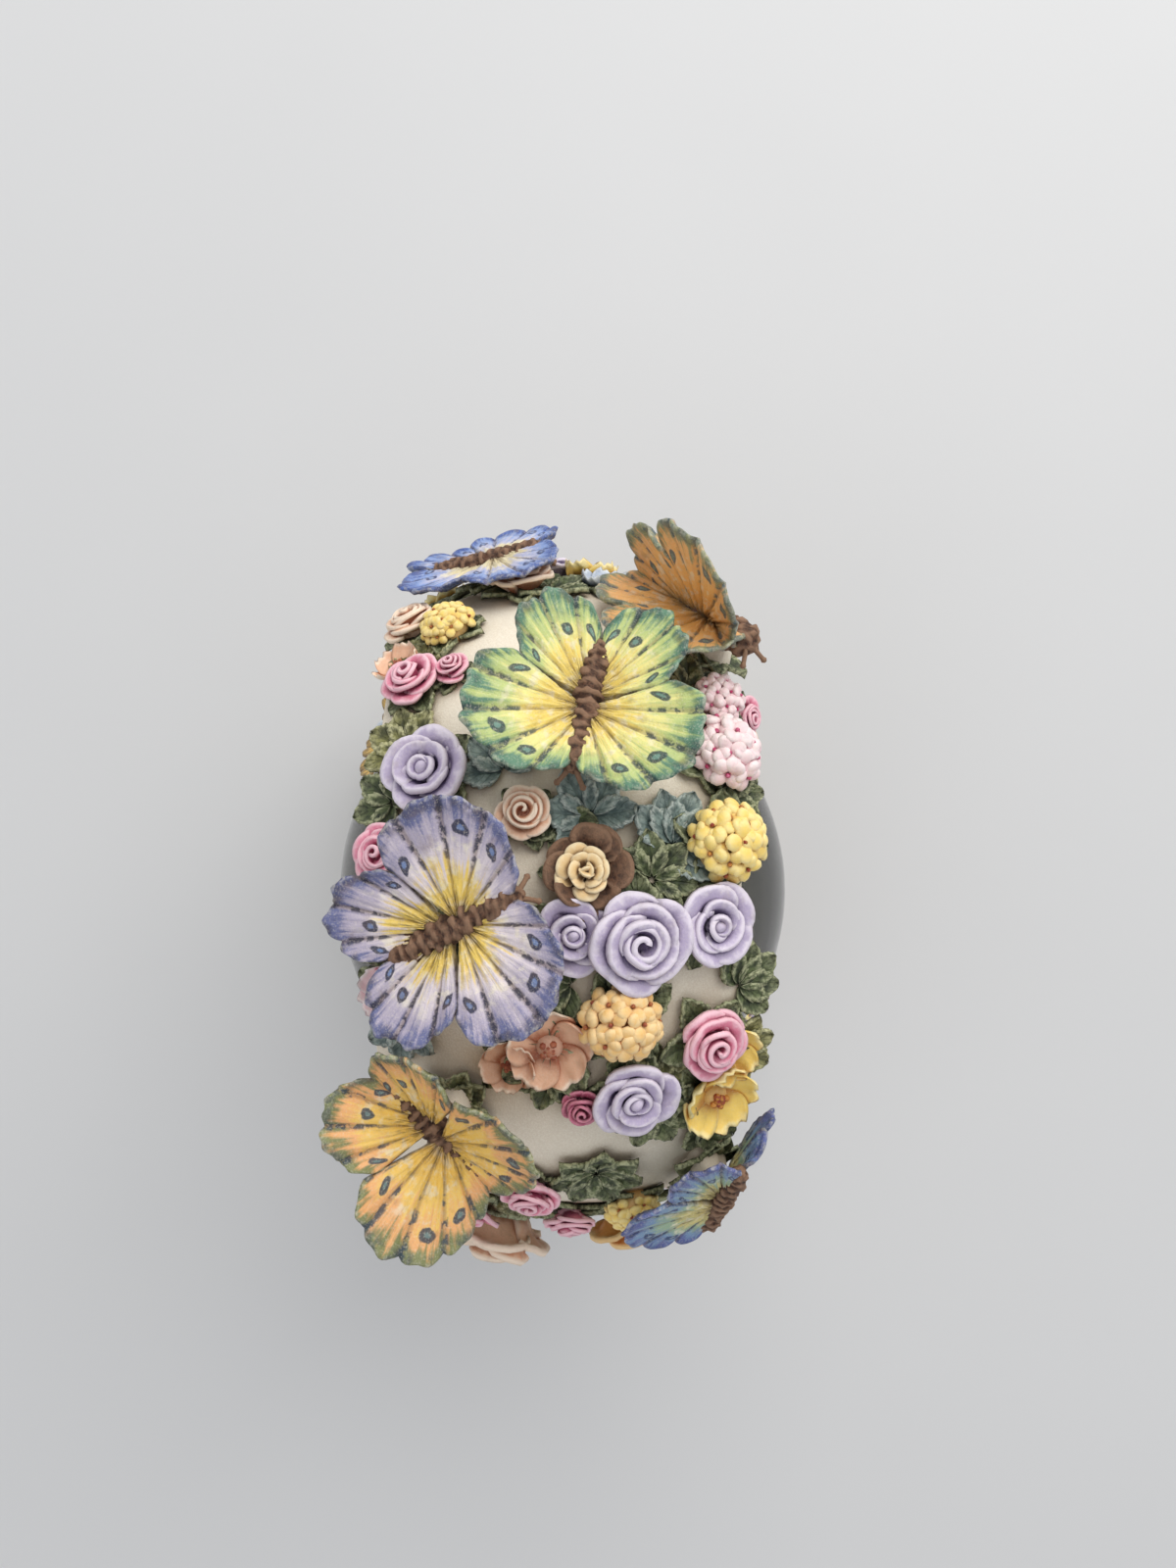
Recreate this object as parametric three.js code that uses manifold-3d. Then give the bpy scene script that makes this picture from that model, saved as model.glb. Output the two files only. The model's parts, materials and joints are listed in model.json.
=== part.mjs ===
// A free-standing water-globe ornament: a glass ball held in an upright cast arch on an oval cast
// base. Cast butterflies and flowers are glued over the arch and round the base. The base is hollow
// and holds a wind-up movement: key, arbor, spring barrel, note cylinder, idler and vane governor.
//
// Frame: millimetres, +Z up, origin at the centre of the footprint, on the surface it stands on.
// The arch lies in the XZ plane, so the ball shows through it towards -Y (front) and +Y (back).
import * as THREE from "three";
import { mergeVertices } from "three/addons/utils/BufferGeometryUtils.js";
import Module from "manifold-3d";

const wasm = await Module();
wasm.setup();

// ---- Driving dimensions ----
const GAP = 0.3; // clearance kept between neighbouring castings
const GLOBE_R = 50;
const GLOBE_Z = 100;
const GLASS_WALL = 2.2;
const NECK_R = 20;
const NECK_BOTTOM = 42.5;

const ARCH_INNER_R = GLOBE_R + 2.6;
const ARCH_CROWN_R = 69;
const ARCH_HALF_WIDTH = 33;
const ARCH_EDGE_DROP = 9;
const ARCH_CROWN_POWER = 2.2;
const ARCH_INNER_CHAMFER = 0.8;
const ARCH_END = 128; // degrees from the top of the arch to each foot

const FOOT_HEIGHT = 1.7;
const BASE_BOTTOM = FOOT_HEIGHT + GAP;
const OVAL_POWER = 2.4; // superellipse exponent of every oval section
const BASE_SECTIONS = [
  // height, half length along X, half width along Y
  [BASE_BOTTOM, 70, 51],
  [6, 73.5, 54.5],
  [14, 72, 53],
  [26, 66, 47],
  [38, 62, 42],
  [50, 58, 38],
  [60, 54, 32],
  [66, 51, 27],
];
const POCKET = { a: 62, b: 43, top: 17 };
const CAVITY = { a: 54, b: 35, top: 40 };
const SLEEVE_R = 24;

const COVER = { a: 61.4, b: 42.4, bottom: 14.3, thick: 2.4 };
const COVER_SCREWS = [
  [58, 0],
  [0, 39],
  [-58, 0],
  [0, -39],
];

const FEET = { a: 66, b: 47, r: 3.6, bearings: [45, 135, 225, 315] };

const BED = { x0: -27, x1: 36, y0: -18, y1: 20, bottom: 17, thick: 2.4 };
const BED_TOP = BED.bottom + BED.thick;
const MODULE_COARSE = 0.5;
const MODULE_FINE = 0.4;
const BARREL = { x: -12, r: 13, teeth: 48, bottom: 20, wallTop: 28, toothHeight: 0.9 };
const CYL = { pinionTeeth: 12, r: 6, x0: 3, x1: 21.3, gearTeeth: 36, gearX: 21.7, gearThick: 1.5 };
const CYL_AXIS_Z = BARREL.wallTop + 0.6 + (CYL.pinionTeeth * MODULE_COARSE) / 2;
const IDLER = { pinionTeeth: 12, wheelTeeth: 24, wheelX: 26.5, wheelThick: 0.8 };
const IDLER_DISTANCE = ((CYL.gearTeeth + IDLER.pinionTeeth) * MODULE_FINE) / 2;
const IDLER_Y = 8;
const IDLER_Z = CYL_AXIS_Z - Math.sqrt(IDLER_DISTANCE ** 2 - IDLER_Y ** 2);
const WORM = { starts: 3, root: 1.1, tip: 1.72, pitchR: 1.5, x: IDLER.wheelX + IDLER.wheelThick / 2 };
const WORM_Y = IDLER_Y + (IDLER.wheelTeeth * MODULE_FINE) / 2 + WORM.pitchR;
const ARBOR_R = 2;

const DEG = Math.PI / 180;

// ---- Finishes ----
const finish = (color, roughness, metalness = 0, extra = {}) =>
  new THREE.MeshStandardMaterial({ color, roughness, metalness, ...extra });
const CREAM = finish(0xe6dcc8, 0.75);
const GLASS = finish(0xd8dcdc, 0.05, 0, { transparent: true, opacity: 0.35 });
const WATER = finish(0xdfe6e8, 0.05, 0, { transparent: true, opacity: 0.3 });
const RUBBER = finish(0x2b2522, 0.8);
const FELT = finish(0x3d5a3c, 0.95);
const CARD = finish(0x4a3a2c, 0.7);
const STEEL = finish(0xb9bcc0, 0.3, 1);
const ZINC = finish(0x9a9c9f, 0.45, 0.9);
const BRASS = finish(0xc9a24a, 0.3, 1);
const PAINT = {
  green: finish(0xa9b96a, 0.55),
  violet: finish(0x9d93ba, 0.5),
  orange: finish(0xd69a4c, 0.55),
  blue: finish(0x7f93bb, 0.55),
  amber: finish(0xdba545, 0.55),
  teal: finish(0x86a39b, 0.55),
  rose: finish(0xcb7088, 0.55),
  lemon: finish(0xdcbc50, 0.55),
  peach: finish(0xd9a98a, 0.6),
  blush: finish(0xdab8b4, 0.6),
  moss: finish(0x6c7650, 0.65),
  bark: finish(0x6d4c36, 0.7),
};

// ---- Solids ----
function solid(geometry) {
  const bare = geometry.index ? geometry.toNonIndexed() : geometry.clone();
  for (const name of Object.keys(bare.attributes)) {
    if (name !== "position") bare.deleteAttribute(name);
  }
  const merged = mergeVertices(bare, 1e-4);
  return new wasm.Manifold(
    new wasm.Mesh({
      numProp: 3,
      vertProperties: merged.attributes.position.array,
      triVerts: new Uint32Array(merged.index.array),
    }),
  );
}

function geometryOf(manifold) {
  const { vertProperties, triVerts, numProp, numVert } = manifold.getMesh();
  const positions = new Float32Array(numVert * 3);
  for (let i = 0; i < numVert; i++) {
    positions.set(vertProperties.subarray(i * numProp, i * numProp + 3), i * 3);
  }
  const geometry = new THREE.BufferGeometry();
  geometry.setAttribute("position", new THREE.BufferAttribute(positions, 3));
  geometry.setIndex(new THREE.BufferAttribute(triVerts, 1));
  geometry.computeVertexNormals();
  return geometry;
}

const union = (...solids) => solids.reduce((a, b) => a.add(b));

// A closed skin over equal rings of points, each ring running anticlockwise seen from the last one.
function skin(rings) {
  const n = rings[0].length;
  const positions = rings.flat().flatMap((p) => [p.x, p.y, p.z]);
  const index = [];
  for (let i = 0; i + 1 < rings.length; i++) {
    for (let j = 0; j < n; j++) {
      const a = i * n + j;
      const b = i * n + ((j + 1) % n);
      index.push(a, b, b + n, a, b + n, a + n);
    }
  }
  const last = (rings.length - 1) * n;
  const outline = (ring) => {
    const centre = ring.reduce((s, p) => s.add(p), new THREE.Vector3()).divideScalar(n);
    const u = ring[0].clone().sub(centre).normalize();
    const normal = new THREE.Vector3();
    ring.forEach((p, j) => {
      const q = ring[(j + 1) % n];
      normal.add(p.clone().sub(centre).cross(q.clone().sub(centre)));
    });
    const v = normal.normalize().cross(u);
    return ring.map((p) => new THREE.Vector2(p.clone().sub(centre).dot(u), p.clone().sub(centre).dot(v)));
  };
  for (const [a, b, c] of THREE.ShapeUtils.triangulateShape(outline(rings[0]), [])) index.push(c, b, a);
  for (const [a, b, c] of THREE.ShapeUtils.triangulateShape(outline(rings.at(-1)), [])) {
    index.push(last + a, last + b, last + c);
  }
  const geometry = new THREE.BufferGeometry();
  geometry.setAttribute("position", new THREE.Float32BufferAttribute(positions, 3));
  geometry.setIndex(index);
  return geometry;
}

function ovalPoint(a, b, angle) {
  const pull = (t) => Math.sign(t) * Math.abs(t) ** (2 / OVAL_POWER);
  return [a * pull(Math.cos(angle)), b * pull(Math.sin(angle))];
}

function ovalSection(a, b, z, sides = 36) {
  return Array.from({ length: sides }, (_, i) => {
    const [x, y] = ovalPoint(a, b, (2 * Math.PI * i) / sides);
    return new THREE.Vector3(x, y, z);
  });
}

function ovalBlock(a, b, z0, z1, sides) {
  return solid(skin([ovalSection(a, b, z0, sides), ovalSection(a, b, z1, sides)]));
}

// A cylinder standing on z0, or lying along X from x0.
function upright(r, z0, z1, x = 0, y = 0, sides = 24) {
  const g = new THREE.CylinderGeometry(r, r, z1 - z0, sides);
  return solid(g.rotateX(Math.PI / 2).translate(x, y, (z0 + z1) / 2));
}
function lying(r, x0, x1, y, z, sides = 20) {
  const g = new THREE.CylinderGeometry(r, r, x1 - x0, sides);
  return solid(g.rotateZ(Math.PI / 2).translate((x0 + x1) / 2, y, z));
}
function block(x0, x1, y0, y1, z0, z1) {
  const g = new THREE.BoxGeometry(x1 - x0, y1 - y0, z1 - z0);
  return solid(g.translate((x0 + x1) / 2, (y0 + y1) / 2, (z0 + z1) / 2));
}

// A turned body: profile points are [radius, height], starting and ending on the axis, bottom first.
function turned(profile, segments = 28) {
  const points = profile.map(([r, z]) => new THREE.Vector2(r, z));
  return solid(new THREE.LatheGeometry(points, segments).rotateX(Math.PI / 2));
}

// ---- Globe ----
// The ball's wall from its neck up to the crown, as profile points.
function ballProfile(ballR, neckR, bottom, steps) {
  const start = Math.asin(neckR / ballR);
  const profile = [
    [0, bottom],
    [neckR, bottom],
  ];
  for (let i = 0; i < steps; i++) {
    const t = start + ((Math.PI - start) * i) / steps;
    profile.push([ballR * Math.sin(t), GLOBE_Z - ballR * Math.cos(t)]);
  }
  profile.push([0, GLOBE_Z + ballR]);
  return profile;
}

const FIGURINE_TOP = 118;
const MOUND_R = 16;
const MOUND_BASE = 54.6;

const moundProfile = (grow) => [
  [0, MOUND_BASE - grow],
  [MOUND_R + grow, MOUND_BASE - grow],
  [MOUND_R + grow, MOUND_BASE + 3 + grow],
  [12 + grow, MOUND_BASE + 9 + grow],
  [4 + grow, MOUND_BASE + 13 + grow],
  [2.6 + grow, MOUND_BASE + 26 + grow],
  [7 + grow, MOUND_BASE + 31],
  [9 + grow, MOUND_BASE + 38],
  [6.5 + grow, MOUND_BASE + 44 + grow],
  [0, MOUND_BASE + 46 + grow],
];

function figurineWings(grow) {
  const half = 14.5 + grow;
  const low = MOUND_BASE + 44 - grow;
  const outline = new THREE.Shape();
  outline.moveTo(-2 - grow, low);
  outline.quadraticCurveTo(-half * 0.9, low - 1, -half, FIGURINE_TOP - 9);
  outline.quadraticCurveTo(-half * 0.8, FIGURINE_TOP + grow, -3, low + 9 + 2 * grow);
  outline.lineTo(3, low + 9 + 2 * grow);
  outline.quadraticCurveTo(half * 0.8, FIGURINE_TOP + grow, half, FIGURINE_TOP - 9);
  outline.quadraticCurveTo(half * 0.9, low - 1, 2 + grow, low);
  outline.closePath();
  const depth = 2.4 + 2 * grow;
  const g = new THREE.ExtrudeGeometry(outline, { depth, bevelEnabled: false, curveSegments: 6 });
  return solid(g.rotateX(Math.PI / 2).translate(0, depth / 2, 0));
}

function globeGlass() {
  const outer = turned(ballProfile(GLOBE_R, NECK_R, NECK_BOTTOM, 11), 24);
  const inner = turned(ballProfile(GLOBE_R - GLASS_WALL, NECK_R - GLASS_WALL, NECK_BOTTOM - 1, 11), 24);
  return outer.subtract(inner);
}

// The water fills the ball round the figurine, down to the stopper.
function globeLiquid() {
  const wet = GLOBE_R - GLASS_WALL - GAP;
  const fill = turned(ballProfile(wet, NECK_R - GLASS_WALL - GAP, MOUND_BASE + 0.2, 11), 24);
  const figurine = union(turned(moundProfile(1), 16), figurineWings(1.2));
  const foot = upright(MOUND_R + 1, MOUND_BASE - 4, MOUND_BASE + 1);
  return fill.subtract(union(figurine, foot));
}

const globeStopper = () =>
  turned([
    [0, NECK_BOTTOM - 2.2],
    [NECK_R - 0.4, NECK_BOTTOM - 2.2],
    [NECK_R - 0.4, NECK_BOTTOM - GAP],
    [NECK_R - GLASS_WALL - GAP, NECK_BOTTOM - GAP],
    [NECK_R - GLASS_WALL - 1, MOUND_BASE - GAP],
    [0, MOUND_BASE - GAP],
  ]);

const neckSleeve = () =>
  upright(SLEEVE_R - GAP, CAVITY.top + 1, 50.5).subtract(upright(NECK_R + GAP, CAVITY.top, 52));

// ---- Arch and base castings ----
const crownRadius = (y, grow = 0) =>
  ARCH_CROWN_R + grow - ARCH_EDGE_DROP * (Math.abs(y) / ARCH_HALF_WIDTH) ** ARCH_CROWN_POWER;

// The arch's cross-section, swept round the ball from one foot to the other.
function archSweep(grow = 0) {
  const half = ARCH_HALF_WIDTH + grow;
  const across = [-1, -0.93, -0.75, -0.5, -0.2, 0.2, 0.5, 0.75, 0.93, 1];
  const outer = across.map((t) => [t * half, crownRadius(t * ARCH_HALF_WIDTH, grow)]);
  const inner = [
    [0.94 * half, ARCH_INNER_R - grow + ARCH_INNER_CHAMFER],
    [0.5 * half, ARCH_INNER_R - grow],
    [-0.5 * half, ARCH_INNER_R - grow],
    [-0.94 * half, ARCH_INNER_R - grow + ARCH_INNER_CHAMFER],
  ];
  const section = [...outer, ...inner].reverse();
  const steps = 32;
  const end = ARCH_END + grow * 0.6;
  const rings = Array.from({ length: steps + 1 }, (_, i) => {
    const angle = (-end + (2 * end * i) / steps) * DEG;
    return section.map(([y, r]) => new THREE.Vector3(r * Math.sin(angle), y, GLOBE_Z + r * Math.cos(angle)));
  });
  return solid(skin(rings));
}

function baseShell() {
  const body = solid(skin(BASE_SECTIONS.map(([z, a, b]) => ovalSection(a, b, z))));
  const bowl = new THREE.SphereGeometry(ARCH_INNER_R, 28, 16).rotateX(Math.PI / 2).translate(0, 0, GLOBE_Z);
  let cut = union(
    solid(bowl),
    ovalBlock(POCKET.a, POCKET.b, 0, POCKET.top),
    ovalBlock(CAVITY.a, CAVITY.b, POCKET.top - 1, CAVITY.top),
    upright(SLEEVE_R, CAVITY.top - 1, 60),
    archSweep(GAP),
  );
  for (const [x, y] of COVER_SCREWS) cut = cut.add(upright(1.3, POCKET.top - 1, POCKET.top + 7, x, y, 10));
  return body.subtract(cut);
}

// ---- Underside ----
const SCREW = { shankR: 1, headR: 2.4, headThick: 1.3 };

function bottomCover() {
  const plate = ovalBlock(COVER.a, COVER.b, COVER.bottom, COVER.bottom + COVER.thick);
  let holes = upright(ARBOR_R + 1.4, COVER.bottom - 1, COVER.bottom + 4, BARREL.x, 0);
  for (const [x, y] of [...COVER_SCREWS, ...MOVEMENT_SCREWS]) {
    holes = holes.add(upright(SCREW.shankR + GAP, COVER.bottom - 1, COVER.bottom + 4, x, y, 10));
  }
  return plate.subtract(holes);
}

// A pan-head screw with a straight slot, driven up from below, head at z.
function screwUp(x, y, headTop, length) {
  const head = upright(SCREW.headR, headTop - SCREW.headThick, headTop, x, y, 14);
  const shank = upright(SCREW.shankR, headTop - 0.5, headTop + length, x, y, 8);
  const slot = block(x - 3, x + 3, y - 0.3, y + 0.3, headTop - 2, headTop - 0.8);
  return union(head, shank).subtract(slot);
}

const PAD = { a: 52, b: 33, thick: 1, keyHoleR: 15, screwHoleR: 4 };
function coverFelt() {
  const top = COVER.bottom - GAP;
  let pad = ovalBlock(PAD.a, PAD.b, top - PAD.thick, top, 32);
  pad = pad.subtract(upright(PAD.keyHoleR, top - 3, top + 1, BARREL.x, 0));
  for (const [x, y] of MOVEMENT_SCREWS) {
    pad = pad.subtract(upright(PAD.screwHoleR, top - 3, top + 1, x, y, 12));
  }
  return pad;
}

// ---- Movement ----
// A spur gear outline with straight-sided teeth, in its own XY plane, one tooth centred on phase.
function gearShape(teeth, gearModule, phase, depth = 0.75) {
  const pitchR = (teeth * gearModule) / 2;
  const step = (2 * Math.PI) / teeth;
  const tip = pitchR + depth * gearModule * 0.8;
  const root = pitchR - depth * gearModule * 1.15;
  const shape = new THREE.Shape();
  for (let i = 0; i < teeth; i++) {
    const at = (r, turn) => {
      const angle = phase + (i + turn) * step;
      return new THREE.Vector2(r * Math.cos(angle), r * Math.sin(angle));
    };
    const corners = [at(root, -0.24), at(tip, -0.1), at(tip, 0.1), at(root, 0.24)];
    corners.forEach((p, k) => (i + k === 0 ? shape.moveTo(p.x, p.y) : shape.lineTo(p.x, p.y)));
  }
  shape.closePath();
  return shape;
}

// The same gear on an axle along X: its outline stands in the YZ plane from x0.
function gearAlongX(teeth, gearModule, phase, x0, thick, y, z) {
  const outline = gearShape(teeth, gearModule, phase);
  const g = new THREE.ExtrudeGeometry(outline, { depth: thick, bevelEnabled: false });
  const turn = new THREE.Matrix4().makeBasis(
    new THREE.Vector3(0, 1, 0),
    new THREE.Vector3(0, 0, 1),
    new THREE.Vector3(1, 0, 0),
  );
  return solid(g.applyMatrix4(turn).translate(x0, y, z));
}

const MOVEMENT_SCREWS = [
  [10, -14],
  [20, 16],
];
const PILLAR = { x0: -16.5, x1: -7.5, inner: 13.8, outer: 17.5, top: 31 };
const COMB_Z = CYL_AXIS_Z - 0.6;
const COMB = { x0: 3.2, x1: 21.2, tip: -6.9, root: -11.6, back: -17, thick: 1.2, teeth: 18 };
const COMB_SCREWS = [6.5, 18];
const COMB_SCREW_Y = -14.6;
const POST_LEFT = [1.4, 2.6];
const POST_RIGHT = [23.9, 25.3];

function movementFrame() {
  const bed = block(BED.x0, BED.x1, BED.y0, BED.y1, BED.bottom, BED_TOP);
  const inBed = BED_TOP - 0.5;
  const combBlock = block(COMB.x0, COMB.x1, COMB.back, COMB.root - 0.6, inBed, COMB_Z - GAP);
  const left = block(...POST_LEFT, -3, 3, inBed, CYL_AXIS_Z + 2.5);
  const right = block(...POST_RIGHT, -3, 3, inBed, CYL_AXIS_Z + 2.5);
  const idlerLug = block(...POST_RIGHT, 2, IDLER_Y + 2.4, inBed, IDLER_Z + 2.4);
  const pillars = [-1, 1].map((s) => {
    const [y0, y1] = [s * PILLAR.inner, s * PILLAR.outer].sort((p, q) => p - q);
    return block(PILLAR.x0, PILLAR.x1, y0, y1, inBed, PILLAR.top);
  });
  const body = union(bed, combBlock, left, right, idlerLug, ...pillars);
  let holes = union(
    upright(ARBOR_R + 0.1, BED.bottom - 1, BED_TOP + 1, BARREL.x, 0),
    lying(1, 0, 30, 0, CYL_AXIS_Z),
    lying(0.9, 22, 30, IDLER_Y, IDLER_Z),
    upright(0.8, BED_TOP - 1, BED_TOP + 1, WORM.x, WORM_Y, 12),
  );
  for (const [x, y] of MOVEMENT_SCREWS) holes = holes.add(upright(SCREW.shankR + 0.2, 16, 23, x, y, 10));
  for (const x of COMB_SCREWS) holes = holes.add(upright(0.95, 22, COMB_Z, x, COMB_SCREW_Y, 10));
  return body.subtract(holes);
}

function barrelBridge() {
  const top = PILLAR.top + GAP + 1.6;
  const strap = block(PILLAR.x0, PILLAR.x1, -PILLAR.outer, PILLAR.outer, PILLAR.top + GAP, top);
  return strap.subtract(upright(ARBOR_R + 0.1, PILLAR.top, top + 1, BARREL.x, 0));
}

// The barrel is a cup round the mainspring; face teeth on its rim drive the cylinder's pinion.
function springBarrel() {
  const wall = upright(BARREL.r, BARREL.bottom, BARREL.wallTop, 0, 0, 32);
  const hollow = upright(BARREL.r - 1.9, BARREL.bottom + 1.2, BARREL.wallTop + 1, 0, 0, 32);
  const hub = upright(3.4, BARREL.bottom, BARREL.bottom + 4, 0, 0, 16);
  let cup = union(wall.subtract(hollow), hub);
  const height = BARREL.toothHeight + 0.4;
  for (let i = 0; i < BARREL.teeth; i++) {
    const angle = ((i + 0.5) * 2 * Math.PI) / BARREL.teeth;
    const tooth = new THREE.BoxGeometry(1.7, 0.52, height);
    tooth.translate(BARREL.r - 1, 0, BARREL.wallTop - 0.4 + height / 2).rotateZ(angle);
    cup = cup.add(solid(tooth));
  }
  const bore = upright(ARBOR_R + GAP, BARREL.bottom - 1, BARREL.wallTop, 0, 0, 16);
  return cup.subtract(bore).translate([BARREL.x, 0, 0]);
}

// The mainspring: a flat strip wound from the hub out to the barrel's wall.
function mainspring() {
  const turns = 4;
  const steps = 56;
  const thick = 0.5;
  const [inside, outside] = [4.2, BARREL.r - 2.9];
  const at = (i, grow) => {
    const angle = (2 * Math.PI * turns * i) / steps;
    const r = inside + ((outside - inside) * i) / steps + grow;
    return new THREE.Vector2(BARREL.x + r * Math.cos(angle), r * Math.sin(angle));
  };
  const out = Array.from({ length: steps + 1 }, (_, i) => at(i, thick));
  const back = Array.from({ length: steps + 1 }, (_, i) => at(steps - i, 0));
  const g = new THREE.ExtrudeGeometry(new THREE.Shape([...out, ...back]), { depth: 5, bevelEnabled: false });
  return solid(g.translate(0, 0, BARREL.bottom + 1.6));
}

function windingArbor() {
  const shaft = upright(ARBOR_R, 9.2, PILLAR.top + 1.2, BARREL.x, 0, 16);
  const collar = upright(2.9, BARREL.bottom + 4.4, BARREL.bottom + 5.4, BARREL.x, 0, 16);
  return union(shaft, collar);
}

// A two-lobed key on a round socket, turned by finger and thumb.
function windingKey() {
  const lobe = (s) => {
    const outline = new THREE.Shape();
    outline.absellipse(s * 6.4, 6.2, 5.6, 4, 0, 2 * Math.PI);
    const hole = new THREE.Path();
    hole.absellipse(s * 7, 6.2, 2.5, 1.7, 0, 2 * Math.PI);
    outline.holes.push(hole);
    const g = new THREE.ExtrudeGeometry(outline, { depth: 2, bevelEnabled: false, curveSegments: 10 });
    return solid(g.rotateX(Math.PI / 2).translate(0, 1, 0));
  };
  const socket = upright(3.6, 3.2, 12.6, 0, 0, 16);
  const key = union(lobe(-1), lobe(1), socket).subtract(upright(ARBOR_R + GAP, 8.9, 13, 0, 0, 16));
  return key.translate([BARREL.x, 0, 0]);
}

// Shaft, pinion and pinned drum turn as one casting.
function noteCylinder() {
  const shaft = lying(0.9, -1.2, 26, 0, CYL_AXIS_Z, 12);
  const drum = lying(CYL.r, CYL.x0, CYL.x1, 0, CYL_AXIS_Z, 30);
  const down = -Math.PI / 2; // a tooth points at the barrel's rim
  const pinion = gearAlongX(CYL.pinionTeeth, MODULE_COARSE, down, -0.8, 1.6, 0, CYL_AXIS_Z);
  let cylinder = union(shaft, drum, pinion);
  const pins = 12;
  for (let i = 0; i < pins; i++) {
    const angle = i * 2.4; // the golden angle spreads the pins evenly
    const pin = new THREE.BoxGeometry(0.5, 0.5, 1.2);
    pin.translate(CYL.x0 + 1 + (i * 16) / pins, 0, CYL.r - 0.15).rotateX(angle).translate(0, 0, CYL_AXIS_Z);
    cylinder = cylinder.add(solid(pin));
  }
  return cylinder;
}

const idlerBearing = Math.atan2(IDLER_Z - CYL_AXIS_Z, IDLER_Y);

function cylinderGear() {
  const gear = gearAlongX(CYL.gearTeeth, MODULE_FINE, idlerBearing, CYL.gearX, CYL.gearThick, 0, CYL_AXIS_Z);
  return gear.subtract(lying(1.2, 20, 25, 0, CYL_AXIS_Z, 12));
}

function idlerWheel() {
  const halfTooth = Math.PI / IDLER.pinionTeeth;
  const facing = idlerBearing + Math.PI + halfTooth; // a gap faces the cylinder's gear
  const axle = [IDLER_Y, IDLER_Z];
  const pinion = gearAlongX(IDLER.pinionTeeth, MODULE_FINE, facing, CYL.gearX, CYL.gearThick, ...axle);
  const wheel = gearAlongX(IDLER.wheelTeeth, MODULE_FINE, 0, IDLER.wheelX, IDLER.wheelThick, ...axle);
  return union(pinion, wheel, lying(0.75, CYL.gearX, IDLER.wheelX + 1.5, IDLER_Y, IDLER_Z, 12));
}

// The governor: a three-start worm whose shaft carries a pair of air vanes.
function governorWorm() {
  const lead = WORM.starts * Math.PI * MODULE_FINE;
  const [z0, z1] = [IDLER_Z - 4, IDLER_Z + 4];
  const steps = 22;
  const sides = 12;
  const rings = Array.from({ length: steps + 1 }, (_, i) => {
    const z = z0 + ((z1 - z0) * i) / steps;
    const twist = (2 * Math.PI * (z - IDLER_Z)) / lead;
    return Array.from({ length: sides }, (_, j) => {
      const angle = (2 * Math.PI * j) / sides;
      // a gap between threads faces the wheel, on the -Y side, level with its axle
      const lobe = Math.cos(WORM.starts * (angle + Math.PI / 2)) < -0.9 ? 1 : 0;
      const r = WORM.root + (WORM.tip - WORM.root) * lobe;
      return new THREE.Vector3(r * Math.cos(angle + twist), r * Math.sin(angle + twist), z);
    });
  });
  const thread = solid(skin(rings));
  const shaft = upright(0.6, BED_TOP - 0.7, 38, 0, 0, 12);
  const vaneZ = IDLER_Z + 6;
  const vanes = block(-4.4, 4.4, -0.3, 0.3, vaneZ, vaneZ + 4.4);
  const boss = upright(1.3, vaneZ - 0.4, vaneZ + 4.8, 0, 0, 12);
  return union(thread, shaft, vanes, boss).translate([WORM.x, WORM_Y, 0]);
}

function governorBracket() {
  const post = block(33, 35.2, WORM_Y - 2.5, WORM_Y + 2.5, BED_TOP + GAP, 38.6);
  const arm = block(WORM.x - 2, 35.2, WORM_Y - 2.5, WORM_Y + 2.5, 37.4, 38.6);
  return union(post, arm).subtract(upright(0.8, 36, 40, WORM.x, WORM_Y, 12));
}

function toneComb() {
  const pitch = (COMB.x1 - COMB.x0) / COMB.teeth;
  const shape = new THREE.Shape();
  shape.moveTo(COMB.x0, COMB.back);
  shape.lineTo(COMB.x1, COMB.back);
  for (let i = COMB.teeth - 1; i >= 0; i--) {
    const x = COMB.x0 + i * pitch;
    shape.lineTo(x + pitch * 0.85, COMB.root);
    shape.lineTo(x + pitch * 0.85, COMB.tip);
    shape.lineTo(x + pitch * 0.15, COMB.tip);
    shape.lineTo(x + pitch * 0.15, COMB.root);
  }
  shape.closePath();
  const g = new THREE.ExtrudeGeometry(shape, { depth: COMB.thick, bevelEnabled: false });
  const plate = solid(g.translate(0, 0, COMB_Z));
  return COMB_SCREWS.reduce((p, x) => p.subtract(upright(1.1, 20, 35, x, COMB_SCREW_Y, 10)), plate);
}

function combScrew(x) {
  const top = COMB_Z + COMB.thick + GAP;
  const head = upright(1.7, top, top + 1, x, COMB_SCREW_Y, 14);
  const shank = upright(0.75, 24, top + 0.4, x, COMB_SCREW_Y, 8);
  const slot = block(x - 2, x + 2, COMB_SCREW_Y - 0.25, COMB_SCREW_Y + 0.25, top + 0.6, top + 2);
  return union(head, shank).subtract(slot);
}

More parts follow.
